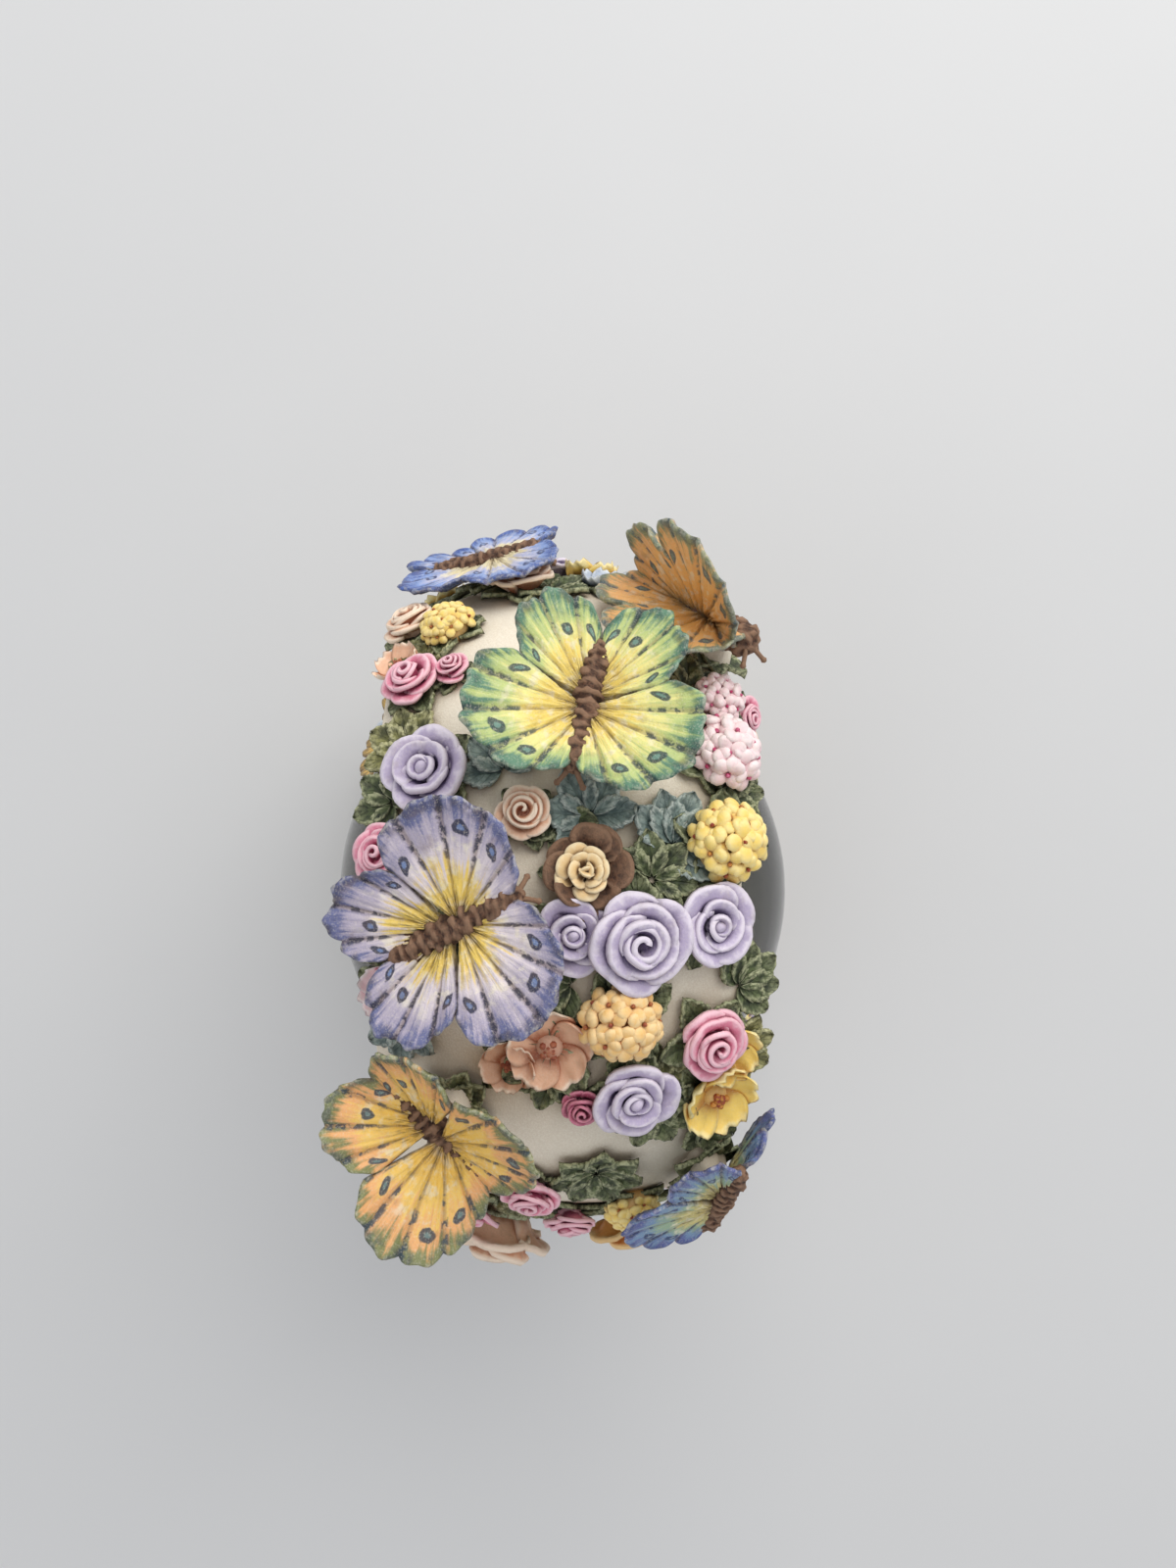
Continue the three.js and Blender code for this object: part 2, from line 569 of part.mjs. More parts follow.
// ---- Decoration ----
// Where a piece sits: on the arch by its angle from the top (towards +X) and its place across the
// width (+Y), or on the base by its bearing round the oval and its height. Both give an origin on
// the surface, the outward normal, and the two directions that headings turn between: on the arch
// towards +X and +Y, on the base along the oval and up the slope.
function onArch(angle, across) {
  const a = angle * DEG;
  const radial = new THREE.Vector3(Math.sin(a), 0, Math.cos(a));
  const t = Math.min(1, Math.abs(across) / ARCH_HALF_WIDTH);
  const slope = (ARCH_CROWN_POWER * ARCH_EDGE_DROP * t ** (ARCH_CROWN_POWER - 1)) / ARCH_HALF_WIDTH;
  const normal = radial.clone().add(new THREE.Vector3(0, Math.sign(across) * slope, 0)).normalize();
  const origin = radial.multiplyScalar(crownRadius(across)).add(new THREE.Vector3(0, across, GLOBE_Z));
  const first = new THREE.Vector3(Math.cos(a), 0, -Math.sin(a));
  return { origin, normal, first, second: new THREE.Vector3(0, 1, 0) };
}

function baseHalfSizes(z) {
  const k = BASE_SECTIONS.findIndex(([height]) => height >= z);
  const [z0, a0, b0] = BASE_SECTIONS[Math.max(0, k - 1)];
  const [z1, a1, b1] = BASE_SECTIONS[Math.max(1, k)];
  const t = (z - z0) / (z1 - z0);
  return [a0 + (a1 - a0) * t, b0 + (b1 - b0) * t];
}

function onBase(bearing, height) {
  const at = (turn, z) => {
    const [x, y] = ovalPoint(...baseHalfSizes(z), turn * DEG);
    return new THREE.Vector3(x, y, z);
  };
  const along = at(bearing + 0.5, height).sub(at(bearing - 0.5, height));
  const up = at(bearing, height + 1).sub(at(bearing, height - 1));
  const normal = along.clone().cross(up).normalize();
  return { origin: at(bearing, height), normal, first: along, second: up };
}

// Turns a local solid, built on z = 0 with its top towards +z, to sit at a spot. Heading is the
// direction of local +Y, in degrees from the spot's first direction towards its second.
function seat(piece, { origin, normal, first, second }, heading, clear) {
  const forward = first.clone().normalize().multiplyScalar(Math.cos(heading * DEG));
  forward.addScaledVector(second.clone().normalize(), Math.sin(heading * DEG));
  const side = forward.clone().cross(normal).normalize();
  const front = normal.clone().cross(side).normalize();
  const place = new THREE.Matrix4().makeBasis(side, front, normal);
  place.setPosition(origin.clone().addScaledVector(normal, clear));
  return piece.transform(place.elements);
}

// A domed flower, widest a third of the way up: radius, height.
const dome = (r, h, segments = 12) =>
  turned(
    [
      [0, 0],
      [r * 0.7, 0],
      [r, h * 0.35],
      [r * 0.9, h * 0.7],
      [r * 0.5, h],
      [0, h * 0.96],
    ],
    segments,
  );

// An open flower: rounded petals round a shallow cup.
function petalled(r, h, petals) {
  const outline = new THREE.Shape();
  const steps = petals * 4;
  for (let i = 0; i <= steps; i++) {
    const angle = (2 * Math.PI * i) / steps;
    const reach = r * (0.72 + 0.28 * Math.abs(Math.cos((petals * angle) / 2)));
    const [x, y] = [reach * Math.cos(angle), reach * Math.sin(angle)];
    if (i === 0) outline.moveTo(x, y);
    else if (i < steps) outline.lineTo(x, y);
  }
  outline.closePath();
  const petalsSolid = solid(new THREE.ExtrudeGeometry(outline, { depth: h * 0.55, bevelEnabled: false }));
  return petalsSolid.add(dome(r * 0.35, h, 8));
}

// A butterfly with its head towards +Y: body, four wings as two slabs raised by the dihedral, and a
// peg that holds it off the surface. The span is from wing tip to wing tip.
const WING = {
  sweep: 1.04, // how much longer the wings are, head to tail, than the outline below
  fore: [
    [0.06, 0.5],
    [0.3, 0.68],
    [0.6, 0.7],
    [0.9, 0.48],
    [1, 0.14],
    [0.9, -0.24],
    [0.78, -0.32],
  ],
  hind: [
    [0.82, -0.46],
    [0.74, -0.72],
    [0.48, -0.82],
    [0.22, -0.62],
    [0.06, -0.4],
  ],
};

function wingSlab(half, side, dihedral) {
  const outline = [...WING.fore, ...WING.hind];
  const points = outline.map(([u, v]) => new THREE.Vector2(u * half, v * half * WING.sweep));
  const rounded = new THREE.SplineCurve(points).getPoints(16);
  const g = new THREE.ExtrudeGeometry(new THREE.Shape(rounded), { depth: 1.5, bevelEnabled: false });
  g.rotateY(-dihedral * DEG);
  const slab = solid(g.translate(-0.4, 0, 0));
  return side < 0 ? slab.mirror([1, 0, 0]) : slab;
}

function butterfly({ span, lift, dihedral, left = dihedral }) {
  const half = span / 2;
  const body = new THREE.CapsuleGeometry(span * 0.048, span * 0.42, 2, 6).translate(0, 0, 0.8);
  const right = wingSlab(half, 1, dihedral);
  const wings = union(right, wingSlab(half, -1, left), solid(body)).translate([0, 0, lift]);
  return union(wings, upright(1.6, 0, lift + 1, 0, 0, 8));
}

// Pitch tips the head down and roll drops the +X side, about the foot of the peg.
function posed(piece, pitch, roll) {
  return piece.rotate([-pitch, roll, 0]);
}

// ---- Assembly ----
const ornament = new THREE.Group();
ornament.name = "water_globe_ornament";

function add(parent, name, manifold, material) {
  const mesh = new THREE.Mesh(geometryOf(manifold), material);
  mesh.name = name;
  parent.add(mesh);
}

function group(...adders) {
  const g = new THREE.Group();
  adders.forEach((adder) => adder(g));
  ornament.add(g);
}

function castings(g) {
  add(g, "base_shell", baseShell(), CREAM);
  add(g, "flower_arch", archSweep(), CREAM);
}

function globe(g) {
  add(g, "globe_glass", globeGlass(), GLASS);
  add(g, "globe_liquid", globeLiquid(), WATER);
  add(g, "globe_stopper", globeStopper(), RUBBER);
  add(g, "neck_sleeve", neckSleeve(), RUBBER);
  add(g, "figurine", union(turned(moundProfile(0), 16), figurineWings(0)), PAINT.rose);
}

function underside(g) {
  add(g, "bottom_cover", bottomCover(), CARD);
  add(g, "cover_felt", coverFelt(), FELT);
  COVER_SCREWS.forEach(([x, y], i) => {
    add(g, `cover_screw_${i + 1}`, screwUp(x, y, COVER.bottom - GAP, 8), STEEL);
  });
  MOVEMENT_SCREWS.forEach(([x, y], i) => {
    add(g, `movement_screw_${i + 1}`, screwUp(x, y, COVER.bottom - GAP, 7.5), STEEL);
  });
  FEET.bearings.forEach((bearing, i) => {
    const [x, y] = ovalPoint(FEET.a, FEET.b, bearing * DEG);
    add(g, `rubber_foot_${i + 1}`, upright(FEET.r, 0, FOOT_HEIGHT, x, y, 16), RUBBER);
  });
}

function movement(g) {
  add(g, "movement_frame", movementFrame(), ZINC);
  add(g, "barrel_bridge", barrelBridge(), ZINC);
  add(g, "spring_barrel", springBarrel(), BRASS);
  add(g, "mainspring", mainspring(), STEEL);
  add(g, "winding_arbor", windingArbor(), STEEL);
  add(g, "winding_key", windingKey(), BRASS);
  add(g, "note_cylinder", noteCylinder(), BRASS);
  add(g, "cylinder_gear", cylinderGear(), BRASS);
  add(g, "idler_wheel", idlerWheel(), BRASS);
  add(g, "governor_worm", governorWorm(), STEEL);
  add(g, "governor_bracket", governorBracket(), ZINC);
  add(g, "tone_comb", toneComb(), STEEL);
  COMB_SCREWS.forEach((x, i) => add(g, `comb_screw_${i + 1}`, combScrew(x), STEEL));
}

const ORANGE_SIZES = { span: 48, lift: 7, dihedral: 6, left: 106 };
const AMBER_SIZES = { span: 46, lift: 6.5, dihedral: 52, left: 14 };

// name, colour, spot, heading, butterfly sizes, pitch, roll
const BUTTERFLIES = [
  ["butterfly_green", "green", onArch(29, -5), 169, { span: 45, lift: 7, dihedral: 14 }, 6, 0],
  ["butterfly_violet", "violet", onArch(0, 14.5), -64, { span: 45, lift: 7, dihedral: 15 }, 0, 0],
  ["butterfly_orange", "orange", onArch(54, -28), -148, ORANGE_SIZES, -14, 24],
  ["butterfly_blue", "blue", onArch(75, 14), -90, { span: 44, lift: 5.5, dihedral: -10, left: 10 }, 0, 0],
  ["butterfly_amber", "amber", onArch(-32, 16.5), -133, AMBER_SIZES, 0, 0],
  ["butterfly_teal", "teal", onArch(-52, -29), 163, { span: 40, lift: 7, dihedral: 8, left: -46 }, 0, 6],
  ["butterfly_front", "rose", onBase(236, 24), 90, { span: 34, lift: 5, dihedral: 20 }, 0, 0],
  ["butterfly_back", "lemon", onBase(62, 24), 90, { span: 34, lift: 5, dihedral: 20 }, 0, 0],
];

// name, colour, shape, spot, heading
const FLOWERS = [
  ["rose_violet", "violet", dome(7.5, 7.5), onArch(-2.5, -14), 0],
  ["rose_pink", "rose", dome(5.6, 6.5), onArch(-19, -26), 0],
  ["rose_peach", "peach", dome(3.6, 5.5), onArch(14, 5), 0],
  ["rose_deep", "rose", dome(4.8, 6), onArch(40, 26), 0],
  ["rose_crimson", "rose", dome(4.2, 5), onArch(-49, 5), 0],
  ["nest_flower", "bark", dome(5.2, 6), onArch(7, -5), 0],
  ["cluster_apricot", "peach", dome(5.6, 6), onArch(-14, -11), 0],
  ["cluster_yellow", "lemon", dome(6, 7), onArch(12, -28.5), 0],
  ["cluster_blush", "blush", dome(5.6, 6), onArch(27, -29), 0],
  ["cluster_lemon", "lemon", dome(4.8, 5), onArch(53, 21), 0],
  ["blossom_lilac", "violet", petalled(5.2, 5, 5), onArch(-26, -13), 40],
  ["blossom_peach", "peach", petalled(5.6, 4, 5), onArch(-18, 1), 20],
  ["blossom_yellow", "lemon", petalled(5, 5, 5), onArch(-31, -28), 80],
  ["blossom_orange", "orange", petalled(8, 12, 5), onArch(-82, -14), 10],
  ["lily_peach", "peach", petalled(9.5, 14, 5), onArch(-80, 12), 15],
];

function butterflies(g) {
  for (const [name, colour, spot, heading, sizes, pitch, roll] of BUTTERFLIES) {
    add(g, name, seat(posed(butterfly(sizes), pitch, roll), spot, heading, 0.8), PAINT[colour]);
  }
}

function flowers(g) {
  for (const [name, colour, shape, spot, heading] of FLOWERS) {
    add(g, name, seat(shape, spot, heading, 0.8), PAINT[colour]);
  }
}

// Low mounds of foliage that run along the casting under the flowers.
const GARLAND = { r: 8.2, h: 9.5, height: 26 };
function garland(first, step, count) {
  const mounds = Array.from({ length: count }, (_, i) => {
    return seat(dome(GARLAND.r, GARLAND.h, 8), onBase(first + i * step, GARLAND.height), 0, 1.2);
  });
  return union(...mounds);
}
// name, first bearing, step and how many mounds
const GARLANDS = [
  ["garland_front", 252, 9, 7],
  ["garland_back", 84, 9, 6],
  ["garland_right", -30, 12, 6],
  ["garland_left", 150, 12, 6],
];

function garlands(g) {
  for (const [name, ...row] of GARLANDS) add(g, name, garland(...row), PAINT.moss);
}

group(castings, globe);
group(underside, movement);
group(butterflies, flowers, garlands);

// The origin goes under the middle of the whole object's box.
const middle = new THREE.Box3().setFromObject(ornament).getCenter(new THREE.Vector3());
ornament.position.set(-middle.x, -middle.y, 0);

export default ornament;
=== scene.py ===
"""Water-globe ornament: finished castings, glass, water and movement round the packed frame."""
import json
import math
import random

import bmesh
import bpy
import numpy as np
from bpy.props import FloatProperty, FloatVectorProperty, IntProperty, PointerProperty
from mathutils import Matrix, Vector, noise


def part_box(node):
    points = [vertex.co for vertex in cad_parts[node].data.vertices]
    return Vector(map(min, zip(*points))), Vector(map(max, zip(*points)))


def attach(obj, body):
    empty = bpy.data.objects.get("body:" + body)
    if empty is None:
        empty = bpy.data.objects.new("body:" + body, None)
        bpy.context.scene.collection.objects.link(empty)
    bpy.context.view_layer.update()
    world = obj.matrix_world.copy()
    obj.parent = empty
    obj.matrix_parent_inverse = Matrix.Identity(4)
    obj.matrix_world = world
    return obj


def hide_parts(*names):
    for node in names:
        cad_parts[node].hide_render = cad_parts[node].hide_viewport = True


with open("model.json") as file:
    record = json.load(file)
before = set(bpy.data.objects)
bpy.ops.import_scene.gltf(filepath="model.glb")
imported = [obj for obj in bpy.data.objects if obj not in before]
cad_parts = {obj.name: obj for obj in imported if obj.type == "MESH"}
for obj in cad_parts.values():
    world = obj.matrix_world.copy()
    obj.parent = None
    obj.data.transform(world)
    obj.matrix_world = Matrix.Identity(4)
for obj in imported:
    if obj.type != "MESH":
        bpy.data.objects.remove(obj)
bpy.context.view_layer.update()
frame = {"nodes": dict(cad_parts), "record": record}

bl_info = {
    "name": "Water Globe Ornament",
    "version": (1, 0, 0),
    "blender": (4, 5, 0),
    "location": "View3D > Sidebar > Globe",
    "description": "Builds the painted castings, glass, water and movement finishes of a water globe",
    "category": "Add Mesh",
}

MM = 0.001
WELD = 2e-6  # points closer than this, in metres, are one point


# ---- Sizes that come from the frame, in millimetres ----
def box_mm(node):
    low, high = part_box(node)
    return np.array(low) / MM, np.array(high) / MM


GLASS_LOW, GLASS_HIGH = box_mm("globe_glass")
BALL_R = 50.0
CENTRE = np.array([*((GLASS_LOW + GLASS_HIGH)[:2] / 2), GLASS_HIGH[2] - BALL_R])
NECK_BOTTOM = GLASS_LOW[2]
NECK_R = 20.0
GLASS_WALL = 2.2
WATER_BOTTOM = box_mm("globe_liquid")[0][2]
ARCH_LOW, ARCH_HIGH = box_mm("flower_arch")
ARCH_CROWN_R = 69.0
ARCH_INNER_R = BALL_R + 2.6
ARCH_HALF = (ARCH_HIGH[1] - ARCH_LOW[1]) / 2
ARCH_EDGE_DROP = 9.0
ARCH_CROWN_POWER = 2.2
ARCH_END = 128.0
BASE_BOTTOM = box_mm("base_shell")[0][2]
OVAL_POWER = 2.4
BASE_SECTIONS = (
    # height, half length along X, half width along Y
    (BASE_BOTTOM, 70, 51),
    (6, 73.5, 54.5),
    (14, 72, 53),
    (26, 66, 47),
    (38, 62, 42),
    (50, 58, 38),
    (60, 54, 32),
    (66, 51, 27),
)
POCKET = (62, 43, 17)
CAVITY = (54, 35, 40)
SPRIG_HEIGHT = 38.0
SLEEVE_R = 24.0


def colour(red, green, blue):
    """Turns display values from 0 to 255 into the linear values that shaders use."""
    values = np.array([red, green, blue]) / 255
    linear = np.where(values <= 0.04045, values / 12.92, ((values + 0.055) / 1.055) ** 2.4)
    return tuple(float(v) for v in linear)


# ---- Properties ----
def paint_group(name, label, **paints):
    """Makes a PropertyGroup of named colours."""
    fields = {}
    for key, rgb in paints.items():
        fields[key] = FloatVectorProperty(
            name=key.replace("_", " ").capitalize(),
            description=f"{label}: {key.replace('_', ' ')} colour",
            subtype="COLOR",
            size=3,
            min=0.0,
            max=1.0,
            default=colour(*rgb),
        )
    return type(name, (bpy.types.PropertyGroup,), {"__annotations__": fields, "__doc__": label})


WING_PAINTS = {
    # root, blade, outer blade, edge, ring spot, spot centre
    "green": ((242, 212, 104), (236, 226, 140), (186, 200, 124), (92, 134, 108), (24, 56, 62), (118, 156, 140)),
    "violet": ((240, 206, 98), (218, 206, 210), (178, 168, 186), (104, 108, 148), (22, 28, 60), (120, 142, 186)),
    "orange": ((246, 188, 104), (248, 192, 112), (240, 180, 108), (142, 144, 104), (58, 88, 98), (120, 138, 122)),
    "blue": ((226, 212, 170), (190, 190, 214), (134, 158, 208), (74, 100, 166), (34, 52, 104), (150, 172, 214)),
    "amber": ((246, 200, 88), (246, 204, 104), (240, 178, 116), (130, 134, 86), (36, 62, 78), (120, 146, 142)),
    "teal": ((216, 202, 130), (154, 180, 150), (120, 150, 184), (90, 100, 158), (40, 62, 104), (152, 174, 194)),
    "rose": ((244, 212, 150), (234, 176, 182), (214, 140, 166), (140, 84, 124), (76, 36, 78), (218, 166, 194)),
    "lemon": ((246, 226, 150), (242, 214, 122), (230, 188, 98), (154, 128, 78), (84, 66, 56), (218, 194, 144)),
}
PETAL_PAINTS = {
    # face, recess (deeper paint, also the colour of painted shade), edge, stamens
    "violet": ((182, 168, 196), (90, 72, 116), (226, 216, 228), (214, 186, 110)),
    "rose": ((226, 128, 154), (158, 50, 90), (246, 196, 206), (226, 190, 110)),
    "peach": ((234, 186, 152), (176, 104, 72), (248, 226, 202), (136, 66, 44)),
    "crimson": ((180, 70, 106), (96, 26, 54), (222, 138, 160), (214, 180, 110)),
    "bark": ((234, 198, 138), (122, 80, 54), (246, 224, 180), (150, 100, 60)),
    "lemon": ((246, 212, 108), (196, 134, 56), (252, 234, 168), (142, 50, 34)),
    "apricot": ((244, 196, 120), (190, 118, 60), (250, 224, 172), (146, 66, 44)),
    "blush": ((244, 212, 214), (206, 112, 142), (250, 240, 236), (186, 44, 98)),
    "orange": ((234, 158, 76), (160, 88, 38), (244, 204, 140), (124, 54, 32)),
    "pale_blue": ((176, 186, 200), (100, 112, 138), (220, 226, 228), (226, 200, 130)),
}
LEAF_PAINTS = {
    # blade, recess (darker tone, also the colour of painted shade), dry-brushed edge
    "moss": ((96, 108, 66), (36, 44, 26), (198, 200, 158)),
    "olive": ((136, 134, 78), (60, 62, 32), (216, 212, 164)),
    "blue_green": ((144, 162, 154), (74, 92, 90), (208, 216, 206)),
}
OTHER_PAINTS = {
    "resin": (252, 243, 224),
    # darker cream for painted shade low down and in recesses, and for the brown wash in clouds
    "resin_wash": (178, 154, 124),
    "bark": (112, 76, 54),
    # dark bark tone, also the colour of painted shade in crowded places
    "bark_recess": (48, 28, 18),
    "felt": (46, 74, 48),
    "board": (74, 54, 38),
}
WING_KEYS = ("root", "blade", "outer_blade", "edge", "ring_spot", "spot_centre")
PETAL_KEYS = ("face", "recess", "edge", "stamens")
LEAF_KEYS = ("blade", "recess", "dry_brushed_edge")


def paint_groups(prefix, label, keys, table):
    """Makes one PropertyGroup for each entry of a table of paints."""
    return {
        name: paint_group(
            f"{prefix}_{name}",
            f"{name.replace('_', ' ').capitalize()} {label}",
            **dict(zip(keys, row)),
        )
        for name, row in table.items()
    }


WING_GROUPS = paint_groups("WingPaint", "wings", WING_KEYS, WING_PAINTS)
PETAL_GROUPS = paint_groups("PetalPaint", "petals", PETAL_KEYS, PETAL_PAINTS)
LEAF_GROUPS = paint_groups("LeafPaint", "leaves", LEAF_KEYS, LEAF_PAINTS)
OtherPaints = paint_group("OtherPaints", "Castings and fittings", **OTHER_PAINTS)


class OrnamentSizes(bpy.types.PropertyGroup):
    """Sizes of the castings' fine detail."""

    wing_thickness: FloatProperty(
        name="Wing thickness",
        description="Thickness of a cast wing at its root",
        default=1.5 * MM,
        min=0.5 * MM,
        max=3 * MM,
        unit="LENGTH",
    )
    rim_height: FloatProperty(
        name="Wing rim",
        description="How far the moulded rim stands above the wing",
        default=0.28 * MM,
        min=0.0,
        max=1 * MM,
        unit="LENGTH",
    )
    sand_height: FloatProperty(
        name="Sand texture",
        description="Height of the fine sandy texture on the cream castings",
        default=0.16 * MM,
        min=0.0,
        max=1 * MM,
        unit="LENGTH",
    )
    wing_steps: IntProperty(
        name="Wing steps",
        description="Points across each wing lobe",
        default=12,
        min=4,
        max=32,
    )


def make_settings():
    """Gathers every group under one pointer for the scene."""
    fields = {"sizes": PointerProperty(type=OrnamentSizes), "other": PointerProperty(type=OtherPaints)}
    for prefix, groups in (("wing", WING_GROUPS), ("petal", PETAL_GROUPS), ("leaf", LEAF_GROUPS)):
        for name, group in groups.items():
            fields[f"{prefix}_{name}"] = PointerProperty(type=group)
    return type("OrnamentSettings", (bpy.types.PropertyGroup,), {"__annotations__": fields})


OrnamentSettings = make_settings()


def settings():
    return bpy.context.scene.water_globe


# ---- Node wiring ----
class Brush:
    """Short names for wiring one material's nodes."""

    def __init__(self, name, roughness=0.5, metallic=0.0, **inputs):
        self.material = bpy.data.materials.new(name)
        self.material.use_nodes = True
        self.tree = self.material.node_tree
        self.shader = self.tree.nodes["Principled BSDF"]
        self.set(self.shader.inputs["Roughness"], roughness)
        self.set(self.shader.inputs["Metallic"], metallic)
        for key, value in inputs.items():
            self.set(self.shader.inputs[key.replace("_", " ")], value)
        self.place = self.node("ShaderNodeTexCoord").outputs["Object"]
        self.mm = self.vector("SCALE", self.place, scale=1 / MM)

    def node(self, kind, **attributes):
        made = self.tree.nodes.new(kind)
        for key, value in attributes.items():
            setattr(made, key, value)
        return made

    def set(self, socket, value):
        if isinstance(value, bpy.types.NodeSocket):
            self.tree.links.new(value, socket)
        elif socket.type == "RGBA":
            socket.default_value = (*tuple(value)[:3], 1.0)
        else:
            socket.default_value = value

    def vector(self, operation, a, b=None, scale=None):
        made = self.node("ShaderNodeVectorMath", operation=operation)
        self.set(made.inputs[0], a)
        if b is not None:
            self.set(made.inputs[1], b)
        if scale is not None:
            made.inputs["Scale"].default_value = scale
        return made.outputs["Vector"]

    def math(self, operation, a, b=0.0, c=0.0, clamp=False):
        made = self.node("ShaderNodeMath", operation=operation, use_clamp=clamp)
        for socket, value in zip(made.inputs, (a, b, c)):
            self.set(socket, value)
        return made.outputs["Value"]

    def step(self, value, start, end, low=0.0, high=1.0):
        """Eases from low to high as value runs from start to end."""
        made = self.node("ShaderNodeMapRange", interpolation_type="SMOOTHSTEP")
        for key, entry in (
            ("Value", value),
            ("From Min", start),
            ("From Max", end),
            ("To Min", low),
            ("To Max", high),
        ):
            self.set(made.inputs[key], entry)
        return made.outputs["Result"]

    def noise(self, scale, detail=3.0, vector=None, roughness=0.55):
        made = self.node("ShaderNodeTexNoise")
        self.set(made.inputs["Vector"], self.mm if vector is None else vector)
        made.inputs["Scale"].default_value = scale
        made.inputs["Detail"].default_value = detail
        made.inputs["Roughness"].default_value = roughness
        return made.outputs["Fac"]

    def mix(self, factor, a, b, blend="MIX"):
        made = self.node("ShaderNodeMix", data_type="RGBA", blend_type=blend)
        self.set(made.inputs["Factor"], factor)
        self.set(made.inputs[6], a)
        self.set(made.inputs[7], b)
        return made.outputs[2]

    def ramp(self, factor, stops, interpolation="EASE"):
        made = self.node("ShaderNodeValToRGB")
        ramp = made.color_ramp
        ramp.interpolation = interpolation
        while len(ramp.elements) < len(stops):
            ramp.elements.new(0.5)
        for element, (position, rgb) in zip(ramp.elements, stops):
            element.position = position
            element.color = (*tuple(rgb)[:3], 1.0)
        self.set(made.inputs["Fac"], factor)
        return made.outputs["Color"]

    def paint_coordinates(self):
        """Across and along values that the meshes store, as two sockets."""
        made = self.node("ShaderNodeUVMap", uv_map="paint")
        split = self.node("ShaderNodeSeparateXYZ")
        self.set(split.inputs["Vector"], made.outputs["UV"])
        return split.outputs["X"], split.outputs["Y"], made.outputs["UV"]

    def recess(self, distance, samples=6):
        """1 in the open and towards 0 where neighbouring surfaces crowd in."""
        made = self.node("ShaderNodeAmbientOcclusion", samples=samples)
        made.inputs["Distance"].default_value = distance * MM
        return made.outputs["AO"]

    def edges(self, low=0.52, high=0.60):
        """1 on sharp outward edges, where a dry brush leaves its paint."""
        made = self.node("ShaderNodeNewGeometry")
        return self.step(made.outputs["Pointiness"], low, high)

    def dusted(self, base, amount=0.3):
        """A fine pale grain over paint, with a little brown wash in clouds."""
        base = self.mix(self.step(self.noise(3.2, 4.0), 0.50, 0.72, 0.0, amount), base, colour(232, 222, 200))
        return self.mix(self.step(self.noise(0.35, 4.0), 0.52, 0.74, 0.0, amount), base, colour(120, 94, 66))

    def finish(self, base, height=None, distance=0.1, strength=0.6):
        self.set(self.shader.inputs["Base Color"], base)
        if height is not None:
            bump = self.node("ShaderNodeBump")
            bump.inputs["Strength"].default_value = strength
            bump.inputs["Distance"].default_value = distance * MM
            self.set(bump.inputs["Height"], height)
            self.set(self.shader.inputs["Normal"], bump.outputs["Normal"])
        return self.material


# ---- Finishes ----
def resin_finish():
    paints = settings().other
    brush = Brush("cream_resin", roughness=0.7)
    sand = brush.noise(2.6, 6.0, roughness=0.7)
    cloud = brush.noise(0.05, 4.0)
    height = brush.node("ShaderNodeSeparateXYZ")
    brush.set(height.inputs["Vector"], brush.mm)
    # painted shade: darker towards the bottom and where neighbouring surfaces crowd in, plus a real brown wash in
    # large clouds, all towards the darker cream
    low_down = brush.step(height.outputs["Z"], 165.0, 60.0)
    open_air = brush.recess(7.0)
    shade_and_wash = brush.math("MULTIPLY", brush.step(open_air, 0.8, 0.2), 0.6)
    shade_and_wash = brush.math("ADD", shade_and_wash, brush.math("MULTIPLY", low_down, 0.3))
    shade_and_wash = brush.math("ADD", shade_and_wash, brush.math("MULTIPLY", brush.step(cloud, 0.48, 0.75), 0.2), clamp=True)
    base = brush.mix(shade_and_wash, paints.resin, paints.resin_wash)
    base = brush.mix(brush.step(sand, 0.40, 0.66, 0.26, 0.0), base, colour(206, 184, 152))
    brush.set(brush.shader.inputs["Roughness"], brush.step(cloud, 0.3, 0.7, 0.62, 0.82))
    return brush.finish(base, sand, settings().sizes.sand_height / MM * 1.6, 0.8)


